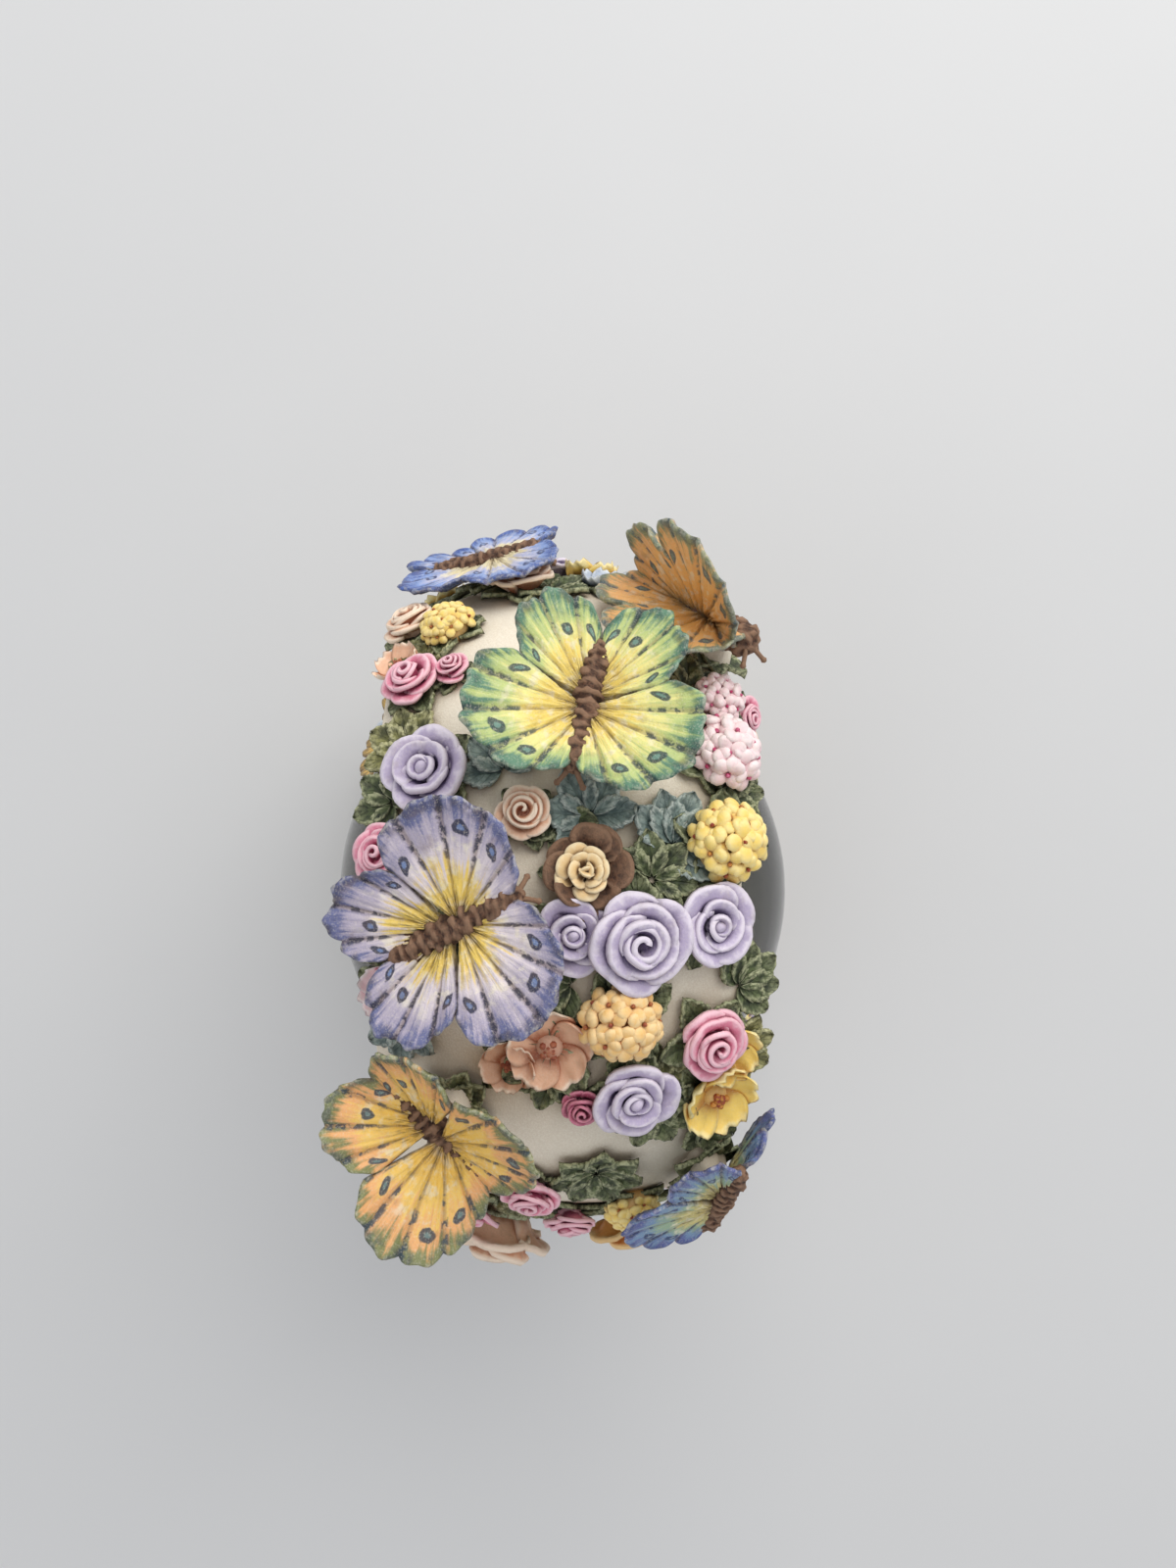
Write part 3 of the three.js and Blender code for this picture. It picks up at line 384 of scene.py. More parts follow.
def wing_finish(name):
    paints = getattr(settings(), f"wing_{name}")
    brush = Brush(f"wing_{name}", roughness=0.42)
    across, along, place = brush.paint_coordinates()
    cell = brush.math("FRACT", across)
    lobe = brush.math("FLOOR", across)
    streak = brush.noise(1.0, 5.0, brush.vector("MULTIPLY", place, (7.0, 1.4, 1.0)))
    cloud = brush.noise(0.22, 3.0)
    reach = brush.math("ADD", along, brush.math("MULTIPLY", brush.math("SUBTRACT", streak, 0.5), 0.75))
    reach = brush.math("ADD", reach, brush.math("MULTIPLY", brush.math("SUBTRACT", cloud, 0.5), 0.55))
    base = brush.ramp(
        reach,
        (
            (0.34, paints.root),
            (0.54, paints.blade),
            (0.78, paints.outer_blade),
            (0.97, paints.edge),
        ),
    )
    # cream showing through thin paint, and brown washed into the root
    thin = brush.step(brush.noise(0.5, 4.0), 0.50, 0.68, 0.0, 0.6)
    thin = brush.math("MULTIPLY", thin, brush.step(along, 0.82, 0.60))
    base = brush.mix(thin, base, colour(242, 232, 204))
    base = brush.mix(brush.step(along, 0.30, 0.06, 0.0, 0.55), base, colour(150, 104, 54))
    # short brush strokes beside each vein, breaking up towards the rim
    from_vein = brush.math("MINIMUM", cell, brush.math("SUBTRACT", 1.0, cell))
    from_vein = brush.math(
        "ADD", from_vein, brush.math("MULTIPLY", brush.math("SUBTRACT", streak, 0.5), 0.08)
    )
    groove = brush.math("MULTIPLY", brush.step(from_vein, 0.11, 0.02), 0.42)
    base = brush.mix(groove, base, colour(140, 112, 78))
    vein = brush.step(from_vein, 0.15, 0.05)
    ragged = brush.step(brush.noise(0.55, 3.0), 0.47, 0.55)
    stroke = brush.math("MULTIPLY", brush.math("MULTIPLY", vein, ragged), brush.step(along, 0.35, 0.6))
    base = brush.mix(brush.math("MULTIPLY", stroke, 0.85), base, paints.ring_spot)
    rim = brush.math(
        "MULTIPLY", brush.step(along, 0.86, 0.97), brush.step(brush.noise(0.35, 3.0), 0.44, 0.58)
    )
    base = brush.mix(brush.math("MULTIPLY", rim, 0.6), base, paints.ring_spot)
    # one ring spot in each lobe
    pick = brush.node("ShaderNodeTexWhiteNoise", noise_dimensions="1D")
    brush.set(pick.inputs["W"], lobe)
    centre = brush.math("ADD", 0.52, brush.math("MULTIPLY", pick.outputs["Value"], 0.28))
    aside = brush.math("MULTIPLY", brush.math("SUBTRACT", cell, 0.5), 5.4)
    apart = brush.math("MULTIPLY", brush.math("SUBTRACT", along, centre), 21.0)
    wobble = brush.math("MULTIPLY", brush.math("SUBTRACT", brush.noise(0.9, 2.0), 0.5), 0.7)
    distance = brush.math(
        "SQRT",
        brush.math("ADD", brush.math("POWER", aside, 2.0), brush.math("POWER", apart, 2.0)),
    )
    distance = brush.math("ADD", distance, wobble)
    disc = brush.math(
        "MULTIPLY",
        brush.step(distance, 1.4, 1.1),
        brush.math("GREATER_THAN", pick.outputs["Value"], 0.28),
    )
    heart = brush.math("MULTIPLY", brush.step(distance, 0.66, 0.36), disc)
    base = brush.mix(brush.math("MULTIPLY", disc, 0.92), base, paints.ring_spot)
    base = brush.mix(brush.math("MULTIPLY", heart, 0.75), base, paints.spot_centre)
    # painted shade: dark brown where neighbouring surfaces crowd in
    open_air = brush.recess(2.6)
    base = brush.mix(brush.step(open_air, 0.8, 0.25, 0.0, 0.6), base, colour(92, 70, 46))
    worn = brush.math("MULTIPLY", brush.edges(0.515, 0.56), brush.step(brush.noise(1.2), 0.42, 0.6))
    base = brush.mix(brush.math("MULTIPLY", worn, 0.3), base, colour(236, 230, 206))
    base = brush.dusted(base)
    brush.set(brush.shader.inputs["Roughness"], brush.step(streak, 0.3, 0.7, 0.34, 0.58))
    grain = brush.math("ADD", brush.noise(3.0, 4.0), brush.math("MULTIPLY", streak, 1.6))
    return brush.finish(base, grain, 0.22, 0.7)


def petal_finish(name):
    paints = getattr(settings(), f"petal_{name}")
    brush = Brush(f"petal_{name}", roughness=0.5)
    _, along, place = brush.paint_coordinates()
    cloud = brush.noise(0.5, 4.0)
    streak = brush.noise(1.0, 4.0, brush.vector("MULTIPLY", place, (6.0, 1.2, 1.0)))
    reach = brush.math("ADD", along, brush.math("MULTIPLY", brush.math("SUBTRACT", cloud, 0.5), 0.4))
    reach = brush.math("ADD", reach, brush.math("MULTIPLY", brush.math("SUBTRACT", streak, 0.5), 0.25))
    base = brush.ramp(
        reach, ((0.10, paints.recess), (0.52, paints.face), (0.80, paints.face), (0.99, paints.edge))
    )
    # painted shade: the recess colour where neighbouring surfaces crowd in
    open_air = brush.recess(2.4)
    base = brush.mix(brush.step(open_air, 0.8, 0.25, 0.0, 0.85), base, paints.recess)
    base = brush.mix(brush.math("MULTIPLY", brush.edges(), 0.6), base, paints.edge)
    base = brush.dusted(base, 0.22)
    brush.set(brush.shader.inputs["Roughness"], brush.step(cloud, 0.3, 0.7, 0.40, 0.62))
    return brush.finish(base, brush.noise(2.2, 5.0), 0.2, 0.6)


def stamen_finish(name):
    paints = getattr(settings(), f"petal_{name}")
    brush = Brush(f"stamens_{name}", roughness=0.55)
    base = brush.mix(brush.step(brush.noise(1.2), 0.4, 0.65), paints.stamens, paints.recess)
    return brush.finish(base, brush.noise(3.0, 4.0), 0.2, 0.6)


def leaf_finish(name):
    paints = getattr(settings(), f"leaf_{name}")
    brush = Brush(f"leaf_{name}", roughness=0.6)
    across, along, _ = brush.paint_coordinates()
    aside = brush.math("ABSOLUTE", brush.math("SUBTRACT", across, 0.5))
    rib = brush.math(
        "FRACT",
        brush.math("MULTIPLY", brush.math("SUBTRACT", along, brush.math("MULTIPLY", aside, 0.7)), 6.0),
    )
    rib = brush.step(brush.math("MINIMUM", rib, brush.math("SUBTRACT", 1.0, rib)), 0.16, 0.02)
    midrib = brush.step(aside, 0.07, 0.02)
    veins = brush.math("MAXIMUM", brush.math("MULTIPLY", rib, 0.55), midrib)
    cloud = brush.noise(0.5, 4.0)
    base = brush.mix(brush.step(cloud, 0.3, 0.7), paints.recess, paints.blade)
    base = brush.mix(brush.math("MULTIPLY", veins, 0.5), base, paints.recess)
    tip = brush.step(brush.math("ADD", along, brush.math("MULTIPLY", cloud, 0.3)), 0.72, 1.2)
    dry = brush.math("MAXIMUM", brush.edges(0.51, 0.57), brush.math("MULTIPLY", tip, 0.7))
    dry = brush.math("MULTIPLY", dry, brush.step(brush.noise(1.5, 4.0), 0.38, 0.6, 0.25, 1.0))
    base = brush.mix(brush.math("MULTIPLY", dry, 0.75), base, paints.dry_brushed_edge)
    # painted shade: the recess colour where neighbouring surfaces crowd in
    base = brush.mix(brush.step(brush.recess(2.4), 0.8, 0.2, 0.0, 0.8), base, paints.recess)
    height = brush.math("ADD", brush.noise(2.0, 4.0), brush.math("MULTIPLY", veins, -1.2))
    return brush.finish(base, height, 0.25, 0.7)


def bark_finish():
    paints = settings().other
    brush = Brush("bark_brown", roughness=0.68)
    rough = brush.noise(1.3, 6.0, roughness=0.7)
    base = brush.mix(brush.step(rough, 0.35, 0.65), paints.bark_recess, paints.bark)
    base = brush.mix(brush.math("MULTIPLY", brush.edges(0.50, 0.56), 0.6), base, colour(176, 138, 108))
    # painted shade: the bark recess colour where neighbouring surfaces crowd in
    base = brush.mix(brush.step(brush.recess(1.6), 0.8, 0.3, 0.0, 0.7), base, paints.bark_recess)
    return brush.finish(base, rough, 0.6, 0.9)


def glass_finish():
    brush = Brush("globe_glass_clear", roughness=0.02, Transmission_Weight=1.0, IOR=1.5)
    haze = brush.noise(0.04, 3.0)
    brush.set(brush.shader.inputs["Roughness"], brush.step(haze, 0.4, 0.8, 0.0, 0.012))
    base = brush.mix(brush.step(haze, 0.3, 0.8), colour(232, 231, 226), colour(218, 217, 210))
    return brush.finish(base)


def water_finish():
    brush = Brush("globe_water", roughness=0.0, Transmission_Weight=1.0, IOR=1.33)
    cloud = brush.noise(0.03, 2.0)
    base = brush.mix(cloud, colour(222, 217, 204), colour(232, 228, 217))
    return brush.finish(base)


def metal_finish(name, tint, dark, roughness, grain=(0.2, 0.2, 3.0)):
    brush = Brush(name, roughness=roughness, metallic=1.0)
    lines = brush.noise(1.0, 4.0, brush.vector("MULTIPLY", brush.mm, grain))
    cloud = brush.noise(0.25, 3.0)
    base = brush.mix(brush.step(cloud, 0.35, 0.75), tint, dark)
    brush.set(brush.shader.inputs["Roughness"], brush.step(lines, 0.3, 0.7, roughness * 0.75, roughness * 1.4))
    return brush.finish(base, lines, 0.03, 0.4)


def matt_finish(name, tint, dark, roughness, scale, depth):
    brush = Brush(name, roughness=roughness)
    grain = brush.noise(scale, 6.0, roughness=0.7)
    cloud = brush.noise(0.12, 3.0)
    base = brush.mix(brush.step(grain, 0.35, 0.7), dark, tint)
    base = brush.mix(brush.step(cloud, 0.45, 0.8, 0.0, 0.3), base, dark)
    return brush.finish(base, grain, depth, 0.8)


FINISHES = {}


def finish(name):
    """A finish by name, made once."""
    if name not in FINISHES:
        kind, _, rest = name.partition(":")
        paints = settings().other
        makers = {
            "resin": resin_finish,
            "wing": lambda: wing_finish(rest),
            "petal": lambda: petal_finish(rest),
            "stamens": lambda: stamen_finish(rest),
            "leaf": lambda: leaf_finish(rest),
            "bark": bark_finish,
            "glass": glass_finish,
            "water": water_finish,
            "brass": lambda: metal_finish("brass", colour(212, 172, 92), colour(150, 112, 52), 0.28),
            "steel": lambda: metal_finish("bright_steel", colour(196, 198, 200), colour(130, 132, 136), 0.25),
            "zinc": lambda: metal_finish(
                "zinc_casting", colour(160, 162, 164), colour(110, 112, 114), 0.5, (0.8, 0.8, 0.8)
            ),
            "rubber": lambda: matt_finish("rubber", colour(52, 48, 44), colour(28, 26, 24), 0.75, 1.4, 0.1),
            "felt": lambda: matt_finish("felt", paints.felt, colour(24, 40, 26), 0.95, 1.8, 0.5),
            "board": lambda: matt_finish("cover_board", paints.board, colour(44, 32, 22), 0.7, 0.8, 0.15),
        }
        FINISHES[name] = makers[kind]()
    return FINISHES[name]


# ---- Modelling ----
def turn(axis, degrees):
    return np.array(Matrix.Rotation(math.radians(degrees), 4, axis))


def shift(x=0.0, y=0.0, z=0.0):
    return np.array(Matrix.Translation((x, y, z)))


def scaled(x, y=None, z=None):
    return np.diag([x, x if y is None else y, x if z is None else z, 1.0])


def ease(value):
    value = np.clip(value, 0.0, 1.0)
    return value * value * (3 - 2 * value)


def moved(grid, matrix):
    grid = np.asarray(grid, float)
    return grid @ matrix[:3, :3].T + matrix[:3, 3]


def normals(grid):
    """Unit normals of a sheet of points."""
    d_row = np.gradient(grid, axis=0)
    d_col = np.gradient(grid, axis=1)
    cross = np.cross(d_row, d_col)
    return cross / np.maximum(np.linalg.norm(cross, axis=2, keepdims=True), 1e-9)


class Clay:
    """The points, faces and paint coordinates of one casting, in millimetres."""

    def __init__(self):
        self.points, self.paint, self.faces, self.slots = [], [], [], []
        self.count = 0

    def _add(self, grid, paint, matrix):
        flat = moved(np.asarray(grid, float).reshape(-1, 3), matrix)
        self.points.append(flat)
        self.paint.append(np.asarray(paint, float).reshape(-1, 2))
        start = self.count
        self.count += len(flat)
        return start

    def _quads(self, index, slot, wrap_rows=False, wrap_cols=False):
        rows = np.roll(index, -1, axis=0)
        cols = np.roll(index, -1, axis=1)
        both = np.roll(rows, -1, axis=1)
        quads = np.stack([index, rows, both, cols], axis=-1)
        quads = quads[: None if wrap_rows else -1, : None if wrap_cols else -1].reshape(-1, 4)
        self.faces.extend(quads.tolist())
        self.slots.extend([slot] * len(quads))

    def slab(self, top, bottom, matrix, paint, slot=0):
        """A closed body between two equal sheets of points."""
        rows, cols = np.shape(top)[:2]
        first = self._add(top, paint, matrix)
        second = self._add(bottom, paint, matrix)
        a = first + np.arange(rows * cols).reshape(rows, cols)
        b = second + np.arange(rows * cols).reshape(rows, cols)
        self._quads(a, slot)
        self._quads(b[:, ::-1], slot)
        rim_a = np.concatenate([a[:-1, 0], a[-1, :-1], a[:0:-1, -1], a[0, :0:-1]])
        rim_b = np.concatenate([b[:-1, 0], b[-1, :-1], b[:0:-1, -1], b[0, :0:-1]])
        self._quads(np.stack([rim_b, rim_a]), slot, wrap_cols=True)

    def tube(self, rings, matrix, slot=0, paint=None, closed=False):
        """A closed body through rings of points; closed joins the last ring to the first."""
        rings = np.asarray(rings, float)
        rows, cols = rings.shape[:2]
        if paint is None:
            across, along = np.meshgrid(np.linspace(0, 1, cols), np.linspace(0, 1, rows))
            paint = np.stack([across, along], axis=-1)
        start = self._add(rings, paint, matrix)
        index = start + np.arange(rows * cols).reshape(rows, cols)
        self._quads(index, slot, wrap_rows=closed, wrap_cols=True)
        if closed:
            return
        for row, flip in ((0, True), (rows - 1, False)):
            centre = self._add(rings[row].mean(axis=0), np.asarray(paint)[row, 0], matrix)
            for j in range(cols):
                pair = (index[row, j], index[row, (j + 1) % cols])
                self.faces.append([centre, *(pair[::-1] if flip else pair)])
                self.slots.append(slot)

    def ball(self, radius, matrix, slot=0, rows=7, cols=10, along=0.5):
        polar = np.linspace(0.02, math.pi - 0.02, rows)[:, None]
        around = np.linspace(0, 2 * math.pi, cols, endpoint=False)[None, :]
        x = np.sin(polar) * np.cos(around)
        y = np.sin(polar) * np.sin(around)
        z = np.cos(polar) * np.ones_like(around)
        paint = np.full((rows, cols, 2), along)
        self.tube(radius * np.stack([x, y, z], axis=-1), matrix, slot, paint)

    def build(self, name, finishes, body="root", replaces=(), slot=None):
        """Turns the clay into a Blender object that rides on a body."""
        mesh = bpy.data.meshes.new(name)
        points = np.concatenate(self.points) * MM
        mesh.from_pydata(points.tolist(), [], self.faces)
        paint = np.concatenate(self.paint)
        layer = mesh.uv_layers.new(name="paint")
        corners = np.empty(len(mesh.loops), dtype=np.int32)
        mesh.loops.foreach_get("vertex_index", corners)
        layer.data.foreach_set("uv", paint[corners].astype(np.float32).ravel())
        mesh.polygons.foreach_set("material_index", np.array(self.slots, dtype=np.int32))
        for entry in finishes:
            mesh.materials.append(finish(entry))
        work = bmesh.new()
        work.from_mesh(mesh)
        bmesh.ops.remove_doubles(work, verts=work.verts, dist=WELD)
        bmesh.ops.recalc_face_normals(work, faces=work.faces)
        work.to_mesh(mesh)
        work.free()
        mesh.polygons.foreach_set("use_smooth", np.ones(len(mesh.polygons), dtype=bool))
        mesh.update()
        piece = bpy.data.objects.new(name, mesh)
        bpy.context.collection.objects.link(piece)
        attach(piece, body)
        if replaces:
            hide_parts(*replaces)
        return piece


def roughen(grid, amount, scale, seed=0.0):
    """Moves the points of a sheet along its normals by smooth noise."""
    lift = np.zeros(grid.shape[:2])
    for i in range(grid.shape[0]):
        for j in range(grid.shape[1]):
            x, y, z = grid[i, j] * scale
            lift[i, j] = noise.noise(Vector((x + seed, y - seed, z)))
    return grid + normals(grid) * (lift * amount)[..., None]


# ---- Places on the castings ----
def crown_radius(across):
    return ARCH_CROWN_R - ARCH_EDGE_DROP * (np.abs(across) / ARCH_HALF) ** ARCH_CROWN_POWER


def on_arch(angle, across):
    """Origin, normal and the two directions that headings turn between."""
    a = math.radians(angle)
    radial = np.array([math.sin(a), 0.0, math.cos(a)])
    t = min(1.0, abs(across) / ARCH_HALF)
    slope = ARCH_CROWN_POWER * ARCH_EDGE_DROP * t ** (ARCH_CROWN_POWER - 1) / ARCH_HALF
    normal = radial + np.array([0.0, math.copysign(slope, across), 0.0])
    normal /= np.linalg.norm(normal)
    origin = CENTRE + radial * crown_radius(across) + np.array([0.0, across, 0.0])
    first = np.array([math.cos(a), 0.0, -math.sin(a)])
    return origin, normal, first, np.array([0.0, 1.0, 0.0])


def oval_point(a, b, angle):
    def pull(value):
        return np.sign(value) * np.abs(value) ** (2 / OVAL_POWER)

    return a * pull(np.cos(angle)), b * pull(np.sin(angle))


def base_halves(z):
    heights, a, b = zip(*BASE_SECTIONS)
    return np.interp(z, heights, a), np.interp(z, heights, b)


def on_base(bearing, height):
    def at(angle, z):
        x, y = oval_point(*base_halves(z), math.radians(angle))
        return np.array([CENTRE[0] + x, CENTRE[1] + y, z])

    along = at(bearing + 0.5, height) - at(bearing - 0.5, height)
    up = at(bearing, height + 1) - at(bearing, height - 1)
    normal = np.cross(along, up)
    normal /= np.linalg.norm(normal)
    return at(bearing, height), normal, along, up


def seat(spot, heading=0.0, clear=0.8):
    """Matrix that stands a piece on a spot, its +Y turned to the heading."""
    origin, normal, first, second = spot
    first = first / np.linalg.norm(first)
    second = second / np.linalg.norm(second)
    h = math.radians(heading)
    side = np.cross(first * math.cos(h) + second * math.sin(h), normal)
    side /= np.linalg.norm(side)
    matrix = np.eye(4)
    matrix[:3, 0] = side
    matrix[:3, 1] = np.cross(normal, side)
    matrix[:3, 2] = normal
    matrix[:3, 3] = origin + normal * clear
    return matrix


# ---- Butterflies ----
FORE = {
    "lobes": 5,
    "arc": (-24, 86),
    "root": (0.03, 0.05),
    "reach": ((0, 0.70), (0.16, 0.94), (0.46, 1.0), (0.72, 0.82), (1, 0.50)),
}
HIND = {
    "lobes": 4,
    "arc": (-89, -12),
    "root": (0.03, -0.05),
    "reach": ((0, 0.58), (0.22, 0.88), (0.47, 0.94), (0.72, 0.86), (1, 0.56)),
}


def smooth_curve(stops, values):
    """A curve through a few stops with its corners rounded."""
    fine = np.linspace(-0.2, 1.2, 281)
    line = np.interp(fine, *zip(*stops))
    kernel = np.hanning(41)
    soft = np.convolve(np.pad(line, 20, mode="edge"), kernel / kernel.sum(), mode="valid")
    return np.interp(values, fine, soft)


def wing(clay, matrix, half, side, dihedral, shape, lower):
    """One cast wing: scalloped rim, moulded grooves between lobes, closed underneath."""
    sizes = settings().sizes
    lobes = shape["lobes"]
    s = np.linspace(0, 1, lobes * sizes.wing_steps + 1)[:, None]
    t = np.concatenate([np.linspace(0.05, 0.86, 18), np.linspace(0.885, 1.0, 8)])[None, :]
    cell = (s * lobes) % 1.0
    hump = np.sin(np.pi * cell) ** 0.6
    angle = np.radians(shape["arc"][0] + (shape["arc"][1] - shape["arc"][0]) * s)
    reach = smooth_curve(shape["reach"], s) * half * (1 - 0.045 * (1 - hump))
    reach = reach * (1 + 0.018 * np.sin(23 * s + matrix[0, 3]) + 0.012 * np.sin(61 * s + matrix[1, 3]))
    x = shape["root"][0] * half + reach * t * np.cos(angle)
    y = shape["root"][1] * half + reach * t * np.sin(angle)
    z = 1.15 * hump * t**0.6 + 0.035 * half * t**2
    z = z + 0.10 * np.sin(2 * np.pi * s * lobes * 3) * np.sin(np.pi * t)
    z = z + 0.22 * np.sin(26 * t + 9 * np.sin(5 * np.pi * s)) * ease((0.62 - t) / 0.3)
    z = z + sizes.rim_height / MM * ease((t - 0.885) / 0.05)
    rounding = np.sqrt(np.clip(1 - ((t - 0.955) / 0.0451).clip(0, 1) ** 2, 0, 1))
    thickness = sizes.wing_thickness / MM * (1 - 0.35 * t)
    middle = z - thickness * 0.5
    top = middle + (z - middle) * rounding
    bottom = middle - thickness * 0.5 * rounding
    d = math.radians(dihedral)
    layers = []
    for level in (top, bottom):
        level = level - lower + sizes.wing_thickness / MM
        turned_x = side * (x * math.cos(d) - level * math.sin(d) - 0.4)
        turned_z = x * math.sin(d) + level * math.cos(d)
        layers.append(np.stack([turned_x, y + 0 * level, turned_z], axis=-1))
    offset = 0 if shape is FORE else 10
    paint = np.stack([offset + s * lobes * 0.9999 + 0 * t, t + 0 * s], axis=-1)
    clay.slab(layers[0], layers[1], matrix, paint, 0)


WAIST_AT = (0, 0.04, 0.3, 0.62, 0.72, 0.84, 0.92, 0.97, 1)
WAIST = (0.35, 0.74, 0.88, 0.95, 0.86, 1.06, 1.0, 0.8, 0.2)


def butterfly_body(clay, matrix, span, slot, seed):
    """A ribbed body from tail to head, with two feelers."""
    length = span * 0.56
    along = np.linspace(0, 1, 64)[:, None]
    around = np.linspace(0, 2 * math.pi, 18, endpoint=False)[None, :]
    waist = np.interp(along, WAIST_AT, WAIST)
    ribs = 1 + 0.065 * np.sin(along * 2 * math.pi * 12) * (along < 0.72)
    radius = span * 0.058 * waist * ribs
    x = radius * np.cos(around) * 1.1
    z = radius * np.sin(around)
    y = (along - 0.5) * length + 0 * around
    rings = roughen(np.stack([x, y, z], axis=-1), span * 0.020, 1.0, seed)
    clay.tube(rings, matrix, slot)
    for side in (-1, 1):
        u = np.linspace(0, 1, 12)
        path = np.stack([side * (0.5 + 2.0 * u**1.2), length * 0.47 + 2.2 * u, -3.4 * u], axis=-1)
        thick = np.interp(u, (0, 0.8, 0.9, 1), (0.5, 0.42, 0.66, 0.3))
        clay.tube(rod_rings(path, thick, 8), matrix, slot)


def rod_rings(path, thick, sides):
    """Rings of points round a path."""
    path = np.asarray(path, float)
    along = np.gradient(path, axis=0)
    along /= np.linalg.norm(along, axis=1, keepdims=True)
    side = np.cross(along, np.array([0.13, 0.21, 0.97]))
    side /= np.linalg.norm(side, axis=1, keepdims=True)
    up = np.cross(side, along)
    around = np.linspace(0, 2 * math.pi, sides, endpoint=False)
    offsets = side[:, None] * np.cos(around)[None, :, None] + up[:, None] * np.sin(around)[None, :, None]
    return path[:, None] + offsets * np.asarray(thick, float)[:, None, None]


def lump(clay, matrix, radius, height, slot, seed):
    """A rough mound that carries a piece."""
    along = np.linspace(0, 1, 12)[:, None]
    around = np.linspace(0, 2 * math.pi, 18, endpoint=False)[None, :]
    r = radius * (1 - 0.5 * along) * (1 + 0.12 * np.sin(around * 3 + seed) + 0.07 * np.sin(around * 7 - seed))
    z = height * along + 0 * around
    clay.tube(np.stack([r * np.cos(around), r * np.sin(around), z], axis=-1), matrix, slot)


# ---- Flowers and leaves ----
def petal_grid(radius, height, width, rise, flare, lean=0.06, rows=15, cols=11):
    """A cupped petal round the Z axis: angle across by way up."""
    a = np.linspace(-1, 1, rows)[:, None]
    t = np.linspace(0, 1, cols)[None, :]
    roll = ease((t - 0.72) / 0.28)
    spread = radius * (0.26 + 0.60 * t**0.7 + flare * 0.30 * t**2) * (1 + lean * a)
    spread = spread + radius * 0.12 * roll
    z = height * rise * t**0.85 * (1 - 0.22 * a**2 * t) - height * 0.09 * roll**2
    angle = a * width
    taper = 1 - 0.28 * (np.abs(a) ** 3) * t
    grid = np.stack([spread * taper * np.cos(angle), spread * taper * np.sin(angle), z + 0 * a], axis=-1)
    paint = np.stack([(a + 1) / 2 + 0 * t, t + 0 * a], axis=-1)
    return grid, paint


def petal(clay, matrix, thickness, slot, **shape):
    grid, paint = petal_grid(**shape)
    grid = roughen(grid, 0.10 * shape["radius"], 0.30, matrix[0, 0] * 5 + matrix[1, 3] * 0.1)
    inner = grid - normals(grid) * thickness
    clay.slab(grid, inner, matrix, paint, slot)


ROSE_RINGS = (
    # petals, radius, rise, flare
    (3, 0.58, 0.93, 0.25),
    (3, 0.78, 0.80, 0.60),
    (5, 0.95, 0.54, 1.0),
)
CUP_RINGS = (
    (2, 0.38, 0.96, 0.1),
    (3, 0.68, 0.90, 0.5),
    (4, 1.00, 0.70, 1.0),
)


def rose(clay, matrix, r, h, slot=0, seed=0.0, rings=ROSE_RINGS):
    """A coiled heart with thick petals overlapping round it."""
    jitter = random.Random(int(1000 * r + 10 * seed))
    for ring, (count, size, rise, flare) in enumerate(rings):
        for k in range(count):
            spin = 360 * k / count + 47 * ring + 31 * seed + jitter.uniform(-14, 14)
            tilt = matrix @ turn("Z", spin) @ turn("Y", jitter.uniform(-7, 5))
            petal(
                clay,
                tilt,
                0.14 * r,
                slot,
                radius=r * size * jitter.uniform(0.90, 1.04),
                height=h * jitter.uniform(0.92, 1.0),
                width=math.pi / count * jitter.uniform(1.35, 1.6),
                rise=rise,
                flare=flare * 0.55,
                lean=0.14,
            )
    if rings is CUP_RINGS:
        clay.ball(r * 0.26, matrix @ shift(z=h * 0.5) @ scaled(1, 0.8, 1.6), slot, along=0.6)
        return
    a = np.linspace(0, 1, 36)[:, None]
    t = np.linspace(0, 1, 7)[None, :]
    spread = r * (0.05 + 0.42 * a + 0.05 * t**2) * (1 + 0.16 * np.sin(5 * a + 2 * seed))
    angle = 2.7 * math.pi * a + 2.1 * seed
    top = h * (1.0 - 0.13 * a)
    grid = np.stack([spread * np.cos(angle), spread * np.sin(angle), top * (0.3 + 0.7 * t)], axis=-1)
    paint = np.stack([a + 0 * t, 0.15 + 0.85 * t + 0 * a], axis=-1)
    clay.slab(grid, grid - normals(grid) * 0.12 * r, matrix, paint, slot)
    clay.ball(r * 0.5, matrix @ shift(z=h * 0.22) @ scaled(1, 1, h / r * 0.8), slot, along=0.1)


def floret(clay, matrix, size, petals, slot):
    """A lumpy little flower of round petals with a dot in the middle."""
    for k in range(petals):
        step = matrix @ turn("Z", 360 * k / petals) @ shift(x=size * 0.52) @ turn("Y", -16)
        clay.ball(size * 0.50, step @ scaled(1.05, 0.88, 0.6), slot, 7, 9, 0.75)
    clay.ball(size * 0.14, matrix @ shift(z=size * 0.2), slot + 1, 5, 6)


def cluster(clay, matrix, r, h, count, slot=0, seed=0.0):
    """Florets packed over a dome."""
    clay.ball(r * 0.8, matrix @ shift(z=h * 0.3) @ scaled(1, 1, h / r * 0.7), slot, 10, 16, 0.1)
    jitter = random.Random(int(100 * r + 7 * seed))
    for i in range(count):
        polar = math.degrees(math.acos(1 - 0.86 * (i + 0.5) / count)) + jitter.uniform(-6, 6)
        tilt = matrix @ shift(z=h * 0.30) @ turn("Z", 137.5 * i + 40 * seed + jitter.uniform(-9, 9))
        out = tilt @ scaled(1, 1, h / r * 0.82) @ turn("Y", polar) @ shift(z=r * jitter.uniform(0.74, 0.86))
        floret(clay, out @ turn("Z", 33 * i), r * jitter.uniform(0.40, 0.52), 4, slot)


